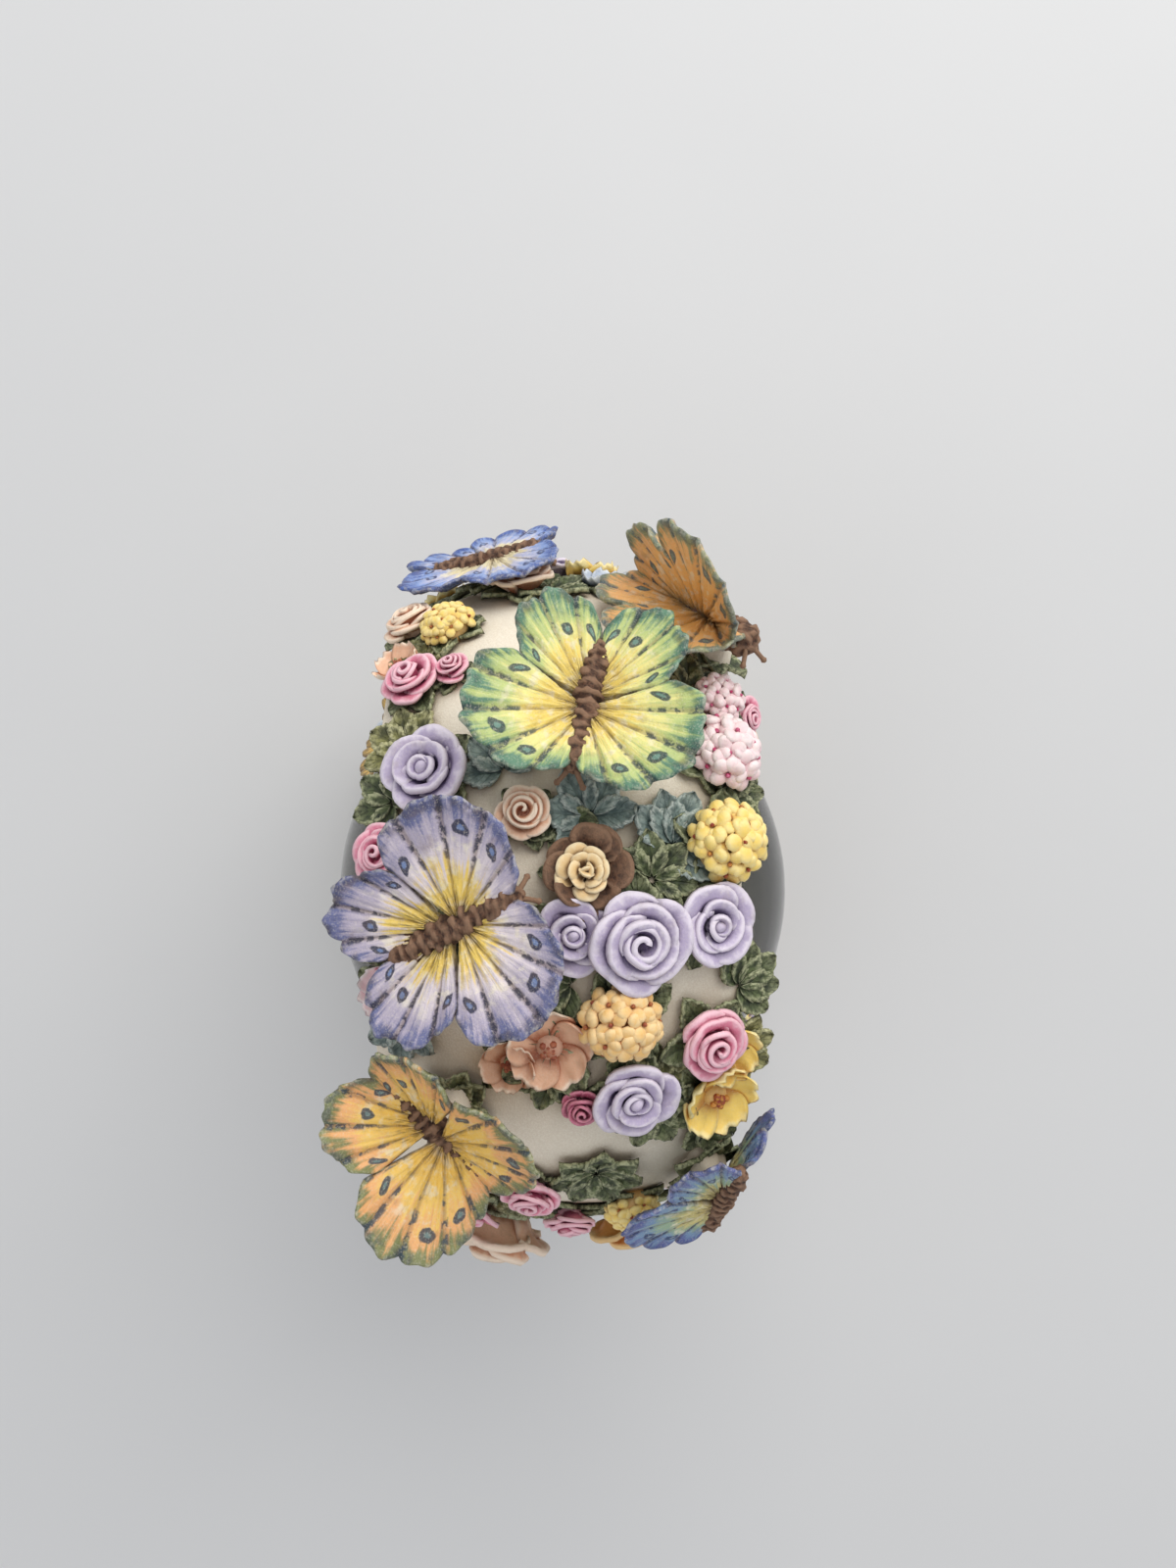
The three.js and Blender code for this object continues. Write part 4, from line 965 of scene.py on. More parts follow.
def blossom(clay, matrix, r, h, petals, slot=0, cup=0.6):
    """An open flower: notched petals round a crowd of stamens."""
    for k in range(petals):
        a = np.linspace(-1, 1, 13)[:, None]
        t = np.linspace(0, 1, 12)[None, :]
        width = r * 0.58 * np.sin(np.pi * (0.12 + 0.72 * t)) ** 0.8
        notch = 1 - 0.10 * (1 - a**2) ** 3 * ease((t - 0.7) / 0.3) - 0.16 * a**2 * t
        x = r * (0.10 + 0.90 * t) * notch
        y = a * width
        z = h * (0.15 + cup * t**1.6) - 0.10 * r * (1 - a**2) * t + 0.05 * r * np.sin(a * 7) * t
        grid = np.stack([x, y, z], axis=-1)
        paint = np.stack([(a + 1) / 2 + 0 * t, t + 0 * a], axis=-1)
        step = matrix @ turn("Z", 360 * k / petals) @ turn("X", 7)
        clay.slab(grid, grid - np.array([0, 0, 0.10 * r]), step, paint, slot)
    clay.ball(r * 0.30, matrix @ shift(z=h * 0.12), slot, 8, 12, 0.1)
    for k in range(9):
        tilt = matrix @ turn("Z", 40 * k) @ shift(x=r * (0.17 if k % 2 else 0.08), z=h * 0.45)
        clay.ball(r * 0.085, tilt, slot + 1, 6, 8)


def leaf(clay, matrix, length, width, slot, seed=0.0, teeth=5):
    """A serrated leaf along +Y, folded at its midrib and drooping at the tip."""
    a = np.linspace(-1, 1, 7)[:, None]
    t = np.linspace(0, 1, 19)[None, :]
    saw = (t * teeth + 0.15 * seed) % 1.0
    outline = width * np.sin(np.pi * t**0.85) ** 0.75 * (1 + 0.20 * saw) + 0.02 * width
    x = a * outline
    y = length * (t + 0.03 * np.abs(a) * saw)
    z = 0.28 * width * np.abs(a) ** 1.2 - 0.20 * length * t**2
    z = z + 0.10 * width * np.cos((t - 0.35 * np.abs(a)) * 2 * np.pi * teeth) * np.abs(a) ** 0.6 * (1 - np.abs(a) ** 4)
    grid = np.stack([x, y + 0 * a, z], axis=-1)
    paint = np.stack([(a + 1) / 2 + 0 * t, t + 0 * a], axis=-1)
    clay.slab(grid, grid - np.array([0, 0, 0.9]), matrix, paint, slot)


def leaf_fan(clay, matrix, length, count, slot, spread=150.0, lean=18.0):
    for k in range(count):
        angle = (k / max(1, count - 1) - 0.5) * spread
        size = length * (1 - 0.22 * abs(angle) / max(spread, 1))
        leaf(clay, matrix @ turn("Z", angle) @ shift(y=0.6) @ turn("X", lean), size, size * 0.34, slot, k)


# ---- Planting ----
BUTTERFLIES = (
    # node, paint, spot, heading, span, lift, dihedral, left dihedral, pitch, roll
    ("butterfly_green", "green", on_arch(29, -5), 169, 45, 7, 14, 14, 6, 0),
    ("butterfly_violet", "violet", on_arch(0, 14.5), -64, 45, 5.9, 11, 11, 0, 0),
    ("butterfly_orange", "orange", on_arch(51, -29), -148, 50, 7, 6, 106, -18, 24),
    ("butterfly_blue", "blue", on_arch(74, 14), -90, 43, 4.0, -12, 4, 0, 0),
    ("butterfly_amber", "amber", on_arch(-29.5, 18), -133, 44, 6.5, 52, 14, 0, 0),
    ("butterfly_teal", "teal", on_arch(-52, -28), 163, 40, 7, -8, -46, 0, 6),
    ("butterfly_front", "rose", on_base(236, 24), 90, 34, 4.7, 20, 20, 0, 0),
    ("butterfly_back", "lemon", on_base(62, 24), 90, 34, 4.7, 20, 20, 0, 0),
)
FLOWERS = (
    # node, kind, paint, radius, height, spot, heading
    ("rose_violet", "rose", "violet", 8.4, 8, on_arch(-2.5, -13.6), 0),
    ("rose_pink", "rose", "rose", 6.6, 7, on_arch(-19, -26), 60),
    ("rose_peach", "rose", "peach", 4.6, 6, on_arch(15, 5), 20),
    ("rose_deep", "rose", "rose", 5.4, 6.5, on_arch(40, 26), 130),
    ("rose_crimson", "rose", "rose", 5.6, 6, on_arch(-49, 5), 0),
    ("nest_flower", "nest", "bark", 6.3, 6.4, on_arch(7, -5), 0),
    ("cluster_apricot", "cluster", "apricot", 7.4, 7, on_arch(-14, -11), 0),
    ("cluster_yellow", "cluster", "lemon", 7.6, 7.8, on_arch(12, -28.5), 0),
    ("cluster_blush", "cluster", "blush", 7.2, 7, on_arch(27, -29), 0),
    ("cluster_lemon", "cluster", "lemon", 5.6, 5.5, on_arch(53, 21), 0),
    ("blossom_lilac", "cup", "violet", 7.0, 6.5, on_arch(-26, -13), 40),
    ("blossom_peach", "blossom", "peach", 8.0, 5, on_arch(-18, 1), 20),
    ("blossom_yellow", "blossom", "lemon", 8.0, 6.5, on_arch(-31, -28), 80),
    ("blossom_orange", "cup", "orange", 8.6, 12, on_arch(-82, -14), 10),
    ("lily_peach", "cup", "peach", 10.0, 14, on_arch(-80, 12), 15),
)
EXTRA_FLOWERS = (
    # kind, paint, radius, height, spot, heading
    ("cup", "violet", 6.8, 7, on_arch(-0.8, -26), 10),
    ("cup", "violet", 6.0, 5, on_arch(-1.5, -3.0), 35),
    ("blossom", "peach", 5.4, 4.4, on_arch(-21, 8), 50),
    ("blossom", "peach", 5.2, 5, on_arch(47, 30), 0),
    ("blossom", "blush", 6.0, 5, on_arch(33, -20), 0),
    ("rose", "crimson", 3.6, 4.6, on_arch(-28, -4.5), 0),
    ("rose", "rose", 3.2, 5, on_arch(41, 19), 40),
    ("rose", "peach", 5.6, 6, on_arch(60, 29), 10),
    ("cup", "violet", 7.4, 7, on_arch(22, 21.5), 70),
    ("blossom", "lemon", 6.4, 5.5, on_arch(-23, -30), 30),
    ("rose", "rose", 5.4, 6, on_arch(10, 29), 20),
    ("cluster", "lemon", 5.0, 5, on_arch(0, 30), 0),
    ("blossom", "blush", 5.6, 5, on_arch(-12, 29), 0),
    ("blossom", "lemon", 6.4, 6, on_arch(84, -6), 20),
    ("cup", "violet", 5.6, 6, on_arch(90, 2), 50),
    ("rose", "rose", 5.4, 6, on_arch(-66, -2), 0),
    ("cluster", "blush", 5.2, 5.2, on_arch(38, -29), 0),
    ("rose", "rose", 6.4, 6.4, on_arch(104, 8), 0),
    ("cluster", "lemon", 6.6, 6, on_arch(108, -14), 0),
    ("blossom", "pale_blue", 6.8, 5, on_arch(98, -22), 30),
    ("cup", "violet", 6.8, 5, on_arch(101, 24), 0),
    ("rose", "violet", 6.6, 6.4, on_arch(-103, -4), 0),
    ("cluster", "apricot", 6.6, 6, on_arch(-108, 15), 0),
    ("blossom", "pale_blue", 6.6, 5, on_arch(-96, 26), 30),
    ("cup", "lemon", 6.4, 5, on_arch(-104, -23), 0),
    ("blossom", "pale_blue", 5.6, 4.6, on_arch(69, -9), 15),
    ("cup", "peach", 6.4, 6, on_arch(66, 8), 15),
    ("cluster", "blush", 6.2, 6, on_arch(72, -26), 0),
    ("rose", "crimson", 5.2, 5.4, on_arch(86, -20), 0),
    ("blossom", "lemon", 5.8, 5, on_arch(90, 26), 0),
    ("rose", "peach", 6.0, 6, on_arch(114, 6), 0),
    ("cup", "rose", 6.2, 6, on_arch(-66, 18), 0),
    ("cluster", "lemon", 6.0, 6, on_arch(-62, -14), 0),
    ("rose", "peach", 5.6, 6, on_arch(-76, 27), 0),
    ("blossom", "violet", 6.0, 5, on_arch(-78, -29), 0),
    ("rose", "crimson", 5.0, 5.4, on_arch(-92, -4), 0),
    ("cup", "rose", 6.0, 6, on_arch(-114, 2), 0),
    ("cluster", "blush", 5.6, 5.6, on_arch(-91, -26), 0),
)
LEAF_SPRAYS = (
    # paint, count, length, spot, heading, spread
    ("moss", 7, 8.5, on_arch(6, -16.5), 60, 310),
    ("blue_green", 6, 10.0, on_arch(11, -20), -40, 170),
    ("blue_green", 5, 9.0, on_arch(15, -6), 30, 220),
    ("moss", 4, 6.5, on_arch(15, -1), 160, 200),
    ("olive", 5, 8.5, on_arch(28, 27), 60, 190),
    ("moss", 4, 8.0, on_arch(19, 29), 80, 160),
    ("moss", 4, 7.5, on_arch(-3, 29), 100, 140),
    ("blue_green", 4, 8.0, on_arch(-17, 27), 150, 160),
    ("moss", 7, 9.0, on_arch(-46, -7), 200, 300),
    ("moss", 6, 8.5, on_arch(-31, -17), 230, 240),
    ("moss", 5, 8.5, on_arch(-12, -32), -60, 150),
    ("olive", 5, 8.0, on_arch(-24, -32), -120, 170),
    ("moss", 5, 8.0, on_arch(20, -30), -40, 160),
    ("olive", 5, 7.5, on_arch(-20, -19), 160, 140),
    ("blue_green", 4, 8.5, on_arch(22, 9), 20, 150),
    ("moss", 4, 8.0, on_arch(-9, -3), 90, 140),
    ("moss", 4, 7.0, on_arch(-23, 1), 190, 160),
    ("olive", 5, 7.5, on_arch(47, 26), 30, 180),
    ("moss", 5, 8.0, on_arch(80, 26), 30, 180),
    ("olive", 5, 8.0, on_arch(82, -24), -30, 180),
    ("moss", 5, 8.0, on_arch(-84, 26), 160, 180),
    ("olive", 5, 8.0, on_arch(-84, -24), 200, 180),
    ("moss", 5, 8.0, on_arch(-106, -14), 200, 180),
    ("moss", 5, 8.0, on_arch(106, 18), 20, 180),
    ("moss", 5, 8.0, on_arch(39, -24), 0, 200),
    ("moss", 5, 8.0, on_arch(-38, -28), 220, 160),
    ("olive", 5, 8.0, on_arch(-62, 12), 200, 200),
    ("moss", 6, 9.0, on_arch(-70, -8), 170, 260),
    ("moss", 5, 8.5, on_arch(66, 2), 10, 240),
    ("olive", 6, 9.0, on_arch(92, 14), 30, 240),
    ("moss", 6, 9.0, on_arch(98, -6), 0, 240),
    ("moss", 6, 9.0, on_arch(-94, 4), 180, 240),
    ("olive", 6, 9.0, on_arch(-98, -16), 180, 240),
    ("moss", 5, 8.5, on_arch(112, 2), 0, 200),
    ("moss", 5, 8.5, on_arch(-112, 2), 180, 200),
)
GARLANDS = (
    # node, bearings round the base, first flower
    ("garland_front", range(252, 307, 9), 0),
    ("garland_back", range(84, 130, 9), 3),
    ("garland_right", range(-30, 31, 12), 5),
    ("garland_left", range(150, 211, 12), 1),
)
SPRIGS = (
    # kind, paint, radius, along X from the ball's centre, which side
    ("blossom", "peach", 6.0, 24, 1),
    ("cup", "pale_blue", 5.4, 36, 1),
    ("cluster", "lemon", 5.6, -35, 1),
    ("cup", "violet", 6.0, -45, 1),
    ("rose", "rose", 5.6, 19, -1),
    ("cluster", "blush", 5.4, 31, -1),
    ("rose", "rose", 5.8, 42, -1),
    ("cup", "lemon", 5.4, -36, -1),
    ("blossom", "violet", 5.6, -46, -1),
)
GARLAND_FLOWERS = (
    ("rose", "rose"),
    ("cluster", "blush"),
    ("cup", "peach"),
    ("blossom", "violet"),
    ("cluster", "lemon"),
    ("rose", "peach"),
    ("blossom", "pale_blue"),
    ("cup", "violet"),
)


def flower(clay, kind, matrix, r, h, seed, slot=0):
    if kind == "rose":
        rose(clay, matrix, r, h, slot, seed)
    elif kind == "cup":
        rose(clay, matrix, r, h, slot, seed, CUP_RINGS)
    elif kind == "cluster":
        cluster(clay, matrix, r, h, 16, slot, seed)
    elif kind == "nest":
        nest(clay, matrix, r, h, slot)
    else:
        blossom(clay, matrix, r, h, 5, slot)


def nest(clay, matrix, r, h, slot):
    """A ragged rosette in a cup of rough petals."""
    jitter = random.Random(5)
    rings = (
        # petals, radius, height of the ring, width, flare, slot
        (8, 0.96, 0.0, 0.62, 0.9, 2),
        (7, 0.66, 0.20, 0.55, 0.7, 0),
        (6, 0.44, 0.34, 0.60, 0.4, 0),
        (3, 0.22, 0.42, 1.00, 0.1, 0),
    )
    for count, size, lift, width, flare, finish_slot in rings:
        for k in range(count):
            tilt = matrix @ turn("Z", 360 * k / count + jitter.uniform(-12, 12)) @ shift(z=h * lift)
            tilt = tilt @ turn("Y", jitter.uniform(-9, 9))
            radius = r * size * jitter.uniform(0.88, 1.1)
            petal(
                clay, tilt, 0.10 * r, slot + finish_slot,
                radius=radius, height=h, width=width, rise=0.6, flare=flare,
            )


# ---- Castings, globe and underside ----
def arch_mesh():
    """The crowned band swept round the ball, its outside a little uneven as if modelled by hand."""
    across = np.sin(np.linspace(-math.pi / 2, math.pi / 2, 44))
    outer = [(t * (ARCH_HALF - 0.05), crown_radius(t * ARCH_HALF) - 0.35) for t in across]
    edge = [(1, 0.45), (0.992, 0.2), (0.97, 0.06), (0.94, 0.02)]
    inner = [(f * (ARCH_HALF - 0.05), ARCH_INNER_R + 1.6 * rise) for f, rise in edge]
    inner += [(f * ARCH_HALF, ARCH_INNER_R) for f in np.linspace(0.8, -0.8, 9)]
    inner += [(-f * (ARCH_HALF - 0.05), ARCH_INNER_R + 1.6 * rise) for f, rise in reversed(edge)]
    section = np.array(outer + inner)
    uneven = np.concatenate([1 - np.abs(across) ** 6, np.zeros(len(inner))])
    angles = np.radians(np.linspace(-ARCH_END + 0.3, ARCH_END - 0.3, 180))[:, None]
    y = section[:, 0] + 0 * angles
    waves = np.sin(11 * angles + 0.13 * y) * np.cos(0.19 * y - 5 * angles) + 0.5 * np.sin(29 * angles - 0.21 * y)
    radius = section[:, 1] + 0.2 * waves * uneven
    return np.stack([radius * np.sin(angles), y, radius * np.cos(angles)], axis=-1) + CENTRE


def base_mesh():
    """Skirt, seat for the ball, hollow and pocket as one closed loop of rings."""
    around = np.linspace(0, 2 * math.pi, 180, endpoint=False)
    rows = []

    def oval(a, b, z):
        x, y = oval_point(a, b, around)
        rows.append(np.stack([x, y, z + 0 * x], axis=-1))

    for a, b, z in (
        (CAVITY[0], CAVITY[1], CAVITY[2]),
        (CAVITY[0], CAVITY[1], POCKET[2] + 0.2),
        (CAVITY[0], CAVITY[1], POCKET[2]),
        (POCKET[0], POCKET[1], POCKET[2]),
        (POCKET[0], POCKET[1], POCKET[2] - 0.3),
        (POCKET[0], POCKET[1], BASE_BOTTOM + 0.6),
        (POCKET[0] + 0.6, POCKET[1] + 0.6, BASE_BOTTOM),
        (69.4, 50.4, BASE_BOTTOM),
    ):
        oval(a, b, z)
    heights = np.linspace(BASE_BOTTOM, 66, 400)
    halves = np.array([base_halves(z) for z in heights])
    tops = []
    for angle in around:
        x, y = oval_point(halves[:, 0], halves[:, 1], angle)
        outside = np.hypot(x, y)
        ball = np.sqrt(np.maximum(0, ARCH_INNER_R**2 - (CENTRE[2] - heights) ** 2))
        inside = np.nonzero(outside <= ball)[0]
        tops.append(heights[inside[0]] if len(inside) else heights[-1])
    tops = np.array(tops)
    for f in np.linspace(0.012, 1, 60):
        z = BASE_BOTTOM + (tops - BASE_BOTTOM) * f
        a, b = base_halves(z)
        x, y = oval_point(a, b, around)
        soft = 1 - 0.012 * ease((f - 0.97) / 0.03) - 0.008 * ease((0.05 - f) / 0.04)
        rows.append(np.stack([x * soft, y * soft, z], axis=-1))
    rim = np.hypot(rows[-1][:, 0], rows[-1][:, 1])
    ball_rim = np.sqrt(np.maximum(0, ARCH_INNER_R**2 - (CENTRE[2] - tops) ** 2))
    direction = rows[-1][:, :2] / rim[:, None]
    for f in np.linspace(0.25, 1, 4):
        r = rim + (np.minimum(ball_rim, rim - 0.05) - rim) * f
        rows.append(np.concatenate([direction * r[:, None], tops[:, None]], axis=1))
    start = rows[-1]
    r0 = np.hypot(start[:, 0], start[:, 1])
    for f in np.linspace(0.05, 1, 16):
        r = r0 + (SLEEVE_R - r0) * f
        z = CENTRE[2] - np.sqrt(np.maximum(0, ARCH_INNER_R**2 - r**2))
        rows.append(np.concatenate([direction * r[:, None], z[:, None]], axis=1))
    for z in (CAVITY[2] + 0.2, CAVITY[2]):
        rows.append(np.concatenate([direction * SLEEVE_R, np.full((len(around), 1), z)], axis=1))
    return np.array(rows) + np.array([CENTRE[0], CENTRE[1], 0.0])


def turned_rings(profile, segments=96):
    around = np.linspace(0, 2 * math.pi, segments, endpoint=False)
    rings = [np.stack([r * np.cos(around), r * np.sin(around), z + 0 * around], axis=-1) for r, z in profile]
    return np.array(rings) + np.array([CENTRE[0], CENTRE[1], 0.0])


def ball_profile(radius, neck, bottom, steps=64):
    start = math.asin(neck / radius)
    arc = [start + (math.pi - start) * i / steps for i in range(steps)]
    points = [(radius * math.sin(t), CENTRE[2] - radius * math.cos(t)) for t in arc]
    return [(neck, bottom), (neck, (bottom + points[0][1]) / 2), *points, (0.02, CENTRE[2] + radius)]


def make_cad_finishes():
    """Gives the carried-over CAD nodes their finishes."""
    by_slot = {"brass": "brass", "steel": "steel", "zinc_casting": "zinc", "rubber": "rubber", "cover_board": "board"}
    slots = {entry["node"]: entry["material_slot"] for entry in frame["record"]["subparts"]}
    for node, piece in frame["nodes"].items():
        if slots[node] in by_slot:
            piece.data.materials.clear()
            piece.data.materials.append(finish(by_slot[slots[node]]))


# ---- Operators ----
class GLOBE_OT_castings(bpy.types.Operator):
    """Model the cream arch and the hollow oval base"""

    bl_idname = "water_globe.castings"
    bl_label = "Arch and Base"

    def execute(self, context):
        arch = Clay()
        arch.tube(arch_mesh(), np.eye(4))
        arch.build("arch_casting", ("resin",), replaces=("flower_arch",), slot="cream_resin")
        base = Clay()
        base.tube(base_mesh(), np.eye(4), closed=True)
        base.build("base_casting", ("resin",), replaces=("base_shell",), slot="cream_resin")
        return {"FINISHED"}


class GLOBE_OT_globe(bpy.types.Operator):
    """Blow the glass ball, fill it with water and set the figurine in it"""

    bl_idname = "water_globe.globe"
    bl_label = "Glass, Water and Figurine"

    def execute(self, context):
        glass = Clay()
        inner = ball_profile(BALL_R - GLASS_WALL, NECK_R - GLASS_WALL, NECK_BOTTOM)
        rings = ball_profile(BALL_R, NECK_R, NECK_BOTTOM)[:-1] + [(0.02, CENTRE[2] + BALL_R)]
        glass.tube(turned_rings(rings[::-1] + inner), np.eye(4))
        glass.build("globe_ball", ("glass",), replaces=("globe_glass",), slot="globe_glass")
        water = Clay()
        wet = ball_profile(BALL_R - GLASS_WALL + 0.4, NECK_R - GLASS_WALL, WATER_BOTTOM)
        water.tube(turned_rings(wet), np.eye(4))
        water.build("globe_water", ("water",), replaces=("globe_liquid",), slot="globe_liquid")
        low, high = box_mm("figurine")
        middle = (low + high) / 2
        stand = shift(middle[0], middle[1], low[2])
        scene = Clay()
        lump(scene, stand, 15.0, 9.0, 2, 0.3)
        for k in range(14):
            step = stand @ turn("Z", 137.5 * k) @ shift(x=5 + 0.6 * k, z=8.2 - 0.42 * k) @ turn("Z", 60 * k)
            leaf(scene, step @ turn("X", 20), 7.0, 2.6, 2, k)
        stem = np.stack([np.zeros(9), np.zeros(9), np.linspace(6, 32, 9)], axis=-1)
        scene.tube(rod_rings(stem, np.linspace(2.4, 1.7, 9), 12), stand, 2)
        rose(scene, stand @ shift(z=28), 9.5, 15, 0, 0.2)
        scene.build(
            "figurine_rose",
            ("petal:rose", "stamens:rose", "leaf:moss"),
            replaces=("figurine",),
            slot="paint_rose",
        )
        friend = Clay()
        raised = stand @ shift(z=46.5) @ turn("X", 62)
        for side in (1, -1):
            wing(friend, raised, 14.0, side, 24, HIND, 0.35)
            wing(friend, raised @ shift(z=0.45), 14.0, side, 24, FORE, 0.0)
        butterfly_body(friend, raised @ shift(z=1.1), 28, 1, 4.0)
        friend.build("figurine_butterfly", ("wing:violet", "bark"), slot="paint_violet")
        return {"FINISHED"}


class GLOBE_OT_butterflies(bpy.types.Operator):
    """Cast and paint the eight butterflies"""

    bl_idname = "water_globe.butterflies"
    bl_label = "Butterflies"

    def execute(self, context):
        for seed, (name, paint, spot, heading, span, lift, dihedral, left, pitch, roll) in enumerate(BUTTERFLIES):
            stand = seat(spot, heading)
            tilted = stand @ turn("Y", roll) @ turn("X", -pitch)
            butterfly(name, paint, stand, tilted, span, lift, dihedral, left, seed)
        return {"FINISHED"}


def butterfly(node, paint, stand, matrix, span, lift, dihedral, left, seed):
    """A whole butterfly on its mound of leaves."""
    clay = Clay()
    half = span / 2
    raised = matrix @ shift(z=lift)
    for side, angle in ((1, dihedral), (-1, left)):
        wing(clay, raised, half, side, angle, HIND, 0.35)
        wing(clay, raised @ shift(z=0.45), half, side, angle, FORE, 0.0)
    butterfly_body(clay, raised @ shift(z=1.1), span, 1, seed)
    lump(clay, stand @ shift(z=-1.6), 4.8, lift * 0.7 + 1.6, 2, seed)
    post = np.stack([np.zeros(5), np.zeros(5), np.linspace(-0.5, lift + 1, 5)], axis=-1)
    clay.tube(rod_rings(post, np.array([2.6, 2.0, 1.7, 1.8, 2.2]), 12), matrix, 2)
    leaf_fan(clay, stand @ turn("Z", 70 * seed), 8.0, 6, 3, 330, 14)
    clay.build(
        node + "_cast",
        (f"wing:{paint}", "bark", "resin", "leaf:moss"),
        replaces=(node,),
        slot=f"paint_{paint}",
    )


class GLOBE_OT_flowers(bpy.types.Operator):
    """Model the roses, clusters, blossoms and leaves on the arch"""

    bl_idname = "water_globe.flowers"
    bl_label = "Flowers and Leaves"

    def execute(self, context):
        record_slots = {entry["slot"] for entry in frame["record"]["materials"]}
        for seed, (node, kind, paint, r, h, spot, heading) in enumerate(FLOWERS):
            clay = Clay()
            matrix = seat(spot, heading, 0.3)
            flower(clay, kind, matrix, r, h, seed)
            leaf_fan(clay, matrix @ turn("Z", 50 * seed), r * 1.3, 5, 3, 320, 12)
            slot = f"paint_{paint}" if f"paint_{paint}" in record_slots else None
            clay.build(node + "_cast", flower_finishes(paint), replaces=(node,), slot=slot)
        bunches = {}
        for seed, (kind, paint, r, h, spot, heading) in enumerate(EXTRA_FLOWERS):
            clay = bunches.setdefault(paint, Clay())
            matrix = seat(spot, heading, 0.0)
            flower(clay, kind, matrix, r, h, seed + 0.5)
            leaf_fan(clay, matrix @ turn("Z", 70 * seed), r * 1.25, 4, 3, 300, 12)
        for paint, clay in bunches.items():
            clay.build(f"arch_flowers_{paint}", flower_finishes(paint))
        sprays = {}
        for paint, count, length, spot, heading, spread in LEAF_SPRAYS:
            clay = sprays.setdefault(paint, Clay())
            leaf_fan(clay, seat(spot, heading, -0.2), length, count, 0, spread, 20)
        for paint, clay in sprays.items():
            clay.build(f"arch_leaves_{paint}", (f"leaf:{paint}",))
        return {"FINISHED"}


def flower_finishes(paint):
    return (f"petal:{paint}", f"stamens:{paint}", "bark", "leaf:moss")


class GLOBE_OT_garlands(bpy.types.Operator):
    """Lay leaves and flowers round the base"""

    bl_idname = "water_globe.garlands"
    bl_label = "Base Garlands"

    def execute(self, context):
        bunches = {}
        for node, bearings, first in GARLANDS:
            leaves = Clay()
            for k, bearing in enumerate(bearings):
                matrix = seat(on_base(bearing, 26 + 4.5 * math.sin(2.3 * bearing)), 0, 0.2)
                kind, paint = GARLAND_FLOWERS[(first + k) % len(GARLAND_FLOWERS)]
                size = 6.4 + 0.9 * math.sin(1.7 * bearing)
                flower(bunches.setdefault(paint, Clay()), kind, matrix @ shift(z=3.8), size, size, k)
                lump(leaves, matrix @ shift(z=-1), 7.4, 6.4, 0, k)
                leaf_fan(leaves, matrix @ shift(z=2.4) @ turn("Z", 90 + 180 * (k % 2)), 10.0, 7, 0, 320, -6)
                leaf_fan(leaves, matrix @ turn("Z", 50 * k), 11.0, 6, 0, 340, 10)
            leaves.build(f"{node}_leaves", ("leaf:moss",), replaces=(node,), slot="paint_moss")
        sprigs = Clay()
        for seed, (kind, paint, r, x, side) in enumerate(SPRIGS):
            origin = CENTRE + np.array([x, side * 48.0, SPRIG_HEIGHT - CENTRE[2]])
            outward = np.array([0.0, side * 0.8, 0.6])
            up_wall = np.array([0, 0.6 * -side, 0.8])
            spot = (origin, outward, np.array([1.0, 0, 0]), up_wall)
            matrix = seat(spot, 0, 0)
            flower(bunches.setdefault(paint, Clay()), kind, matrix, r, r, seed)
            lump(sprigs, matrix @ shift(z=-11), 7.0, 12.5, 0, seed)
            leaf_fan(sprigs, matrix @ shift(z=-1), 9.0, 6, 0, 320, 4)
            leaf_fan(sprigs, matrix @ shift(z=-5) @ turn("Z", 40), 9.0, 6, 0, 320, 4)
        sprigs.build("base_sprigs", ("leaf:moss",))
        for paint, clay in bunches.items():
            clay.build(f"base_flowers_{paint}", flower_finishes(paint))
        return {"FINISHED"}


class GLOBE_OT_underside(bpy.types.Operator):
    """Finish the movement, cover, feet and felt"""

    bl_idname = "water_globe.underside"
    bl_label = "Movement and Underside"

    def execute(self, context):
        make_cad_finishes()
        felt = frame["nodes"]["cover_felt"]
        felt.data.materials.clear()
        felt.data.materials.append(finish("felt"))
        return {"FINISHED"}


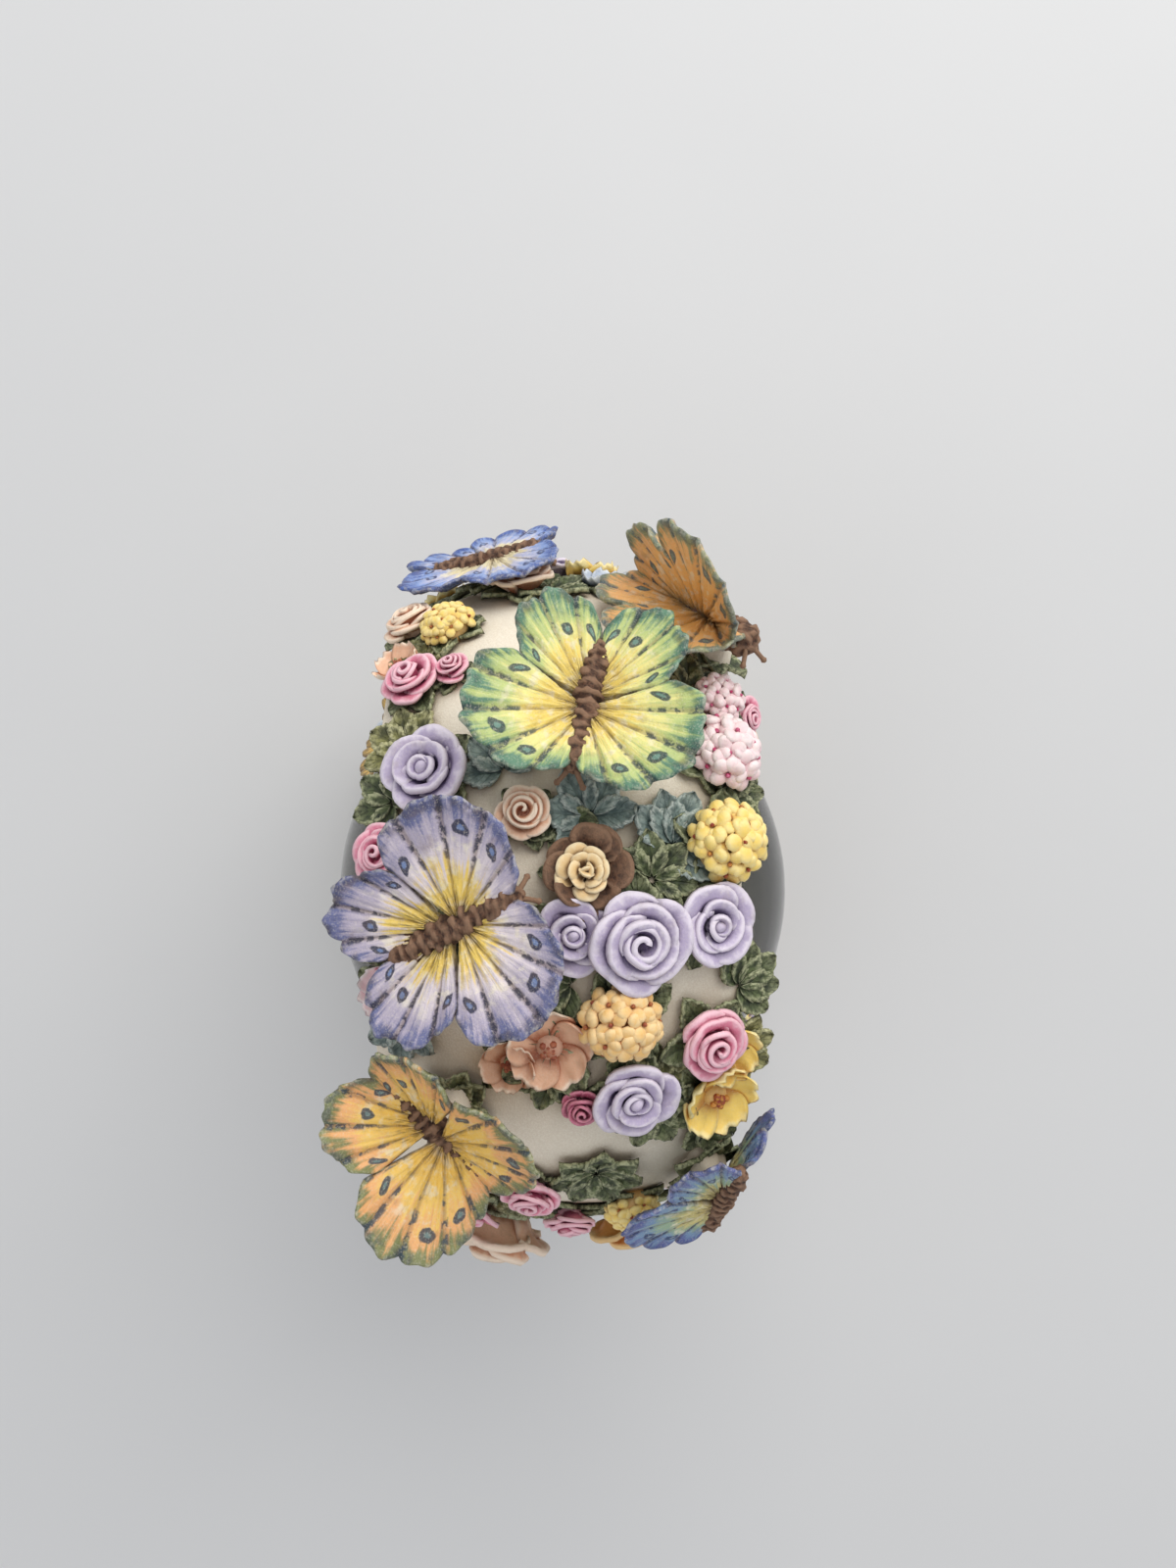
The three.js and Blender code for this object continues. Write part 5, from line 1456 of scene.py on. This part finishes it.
class GLOBE_OT_stage(bpy.types.Operator):
    """Set the floor, the lights and the camera"""

    bl_idname = "water_globe.stage"
    bl_label = "Stage"

    def execute(self, context):
        floor = Clay()
        edge = np.linspace(-2500, 2500, 24)
        x, y = np.meshgrid(edge, edge, indexing="ij")
        grid = np.stack([x, y, 0 * x - 0.02], axis=-1)
        floor.slab(grid, grid - np.array([0, 0, 5.0]), np.eye(4), np.zeros((24, 24, 2)))
        mesh = bpy.data.meshes.new("pale_floor")
        mesh.from_pydata((np.concatenate(floor.points) * MM).tolist(), [], floor.faces)
        ground = bpy.data.objects.new("pale_floor", mesh)
        brush = Brush("pale_floor", roughness=0.8)
        shade = brush.noise(0.004, 3.0)
        mesh.materials.append(brush.finish(brush.mix(shade, colour(206, 206, 205), colour(214, 214, 213))))
        bpy.context.collection.objects.link(ground)
        lamp("key_light", (0.8, -0.35, 0.75), 1.1, 10.5, (1.0, 0.985, 0.96))
        lamp("fill_light", (-0.5, 0.6, 0.9), 1.0, 0.9, (0.96, 0.98, 1.0))
        world = bpy.data.worlds.new("soft_sky")
        world.use_nodes = True
        world.node_tree.nodes["Background"].inputs["Color"].default_value = (0.93, 0.95, 1.0, 1.0)
        world.node_tree.nodes["Background"].inputs["Strength"].default_value = 0.64
        bpy.context.scene.world = world
        bpy.context.scene.view_settings.view_transform = "Standard"
        camera = bpy.data.cameras.new("camera")
        camera.lens = 27.0
        camera.sensor_width = 36.0
        camera.clip_start = 0.01
        viewer = bpy.data.objects.new("camera", camera)
        viewer.location = Vector((CENTRE[0] + 23.5, CENTRE[1] - 5.6, CENTRE[2] + 269.0)) * MM
        viewer.rotation_euler = (0.0, 0.0, math.radians(-90))
        bpy.context.collection.objects.link(viewer)
        bpy.context.scene.camera = viewer
        return {"FINISHED"}


def lamp(name, place, size, power, tint):
    """A square soft light aimed at the ornament."""
    data = bpy.data.lights.new(name, "AREA")
    data.size = size
    data.energy = power
    data.color = tint
    piece = bpy.data.objects.new(name, data)
    piece.location = place
    aim = Vector((0, 0, 0.1)) - Vector(place)
    piece.rotation_euler = aim.to_track_quat("-Z", "Y").to_euler()
    bpy.context.collection.objects.link(piece)


OPERATORS = (
    GLOBE_OT_stage,
    GLOBE_OT_castings,
    GLOBE_OT_globe,
    GLOBE_OT_butterflies,
    GLOBE_OT_flowers,
    GLOBE_OT_garlands,
    GLOBE_OT_underside,
)


class GLOBE_PT_panel(bpy.types.Panel):
    """Lists the steps that build the ornament"""

    bl_idname = "GLOBE_PT_panel"
    bl_label = "Water Globe"
    bl_space_type = "VIEW_3D"
    bl_region_type = "UI"
    bl_category = "Globe"

    def draw(self, context):
        for operator in OPERATORS:
            self.layout.operator(operator.bl_idname)
        for key in ("wing_thickness", "rim_height", "sand_height", "wing_steps"):
            self.layout.prop(settings().sizes, key)
        for key in OTHER_PAINTS:
            self.layout.prop(settings().other, key)


CLASSES = (
    OrnamentSizes,
    OtherPaints,
    *WING_GROUPS.values(),
    *PETAL_GROUPS.values(),
    *LEAF_GROUPS.values(),
    OrnamentSettings,
    *OPERATORS,
    GLOBE_PT_panel,
)


def register():
    for cls in CLASSES:
        bpy.utils.register_class(cls)
    bpy.types.Scene.water_globe = PointerProperty(type=OrnamentSettings)


def unregister():
    del bpy.types.Scene.water_globe
    for cls in reversed(CLASSES):
        bpy.utils.unregister_class(cls)


def main():
    register()
    for operator in OPERATORS:
        group, _, name = operator.bl_idname.partition(".")
        getattr(getattr(bpy.ops, group), name)()


if __name__ == "__main__":
    main()
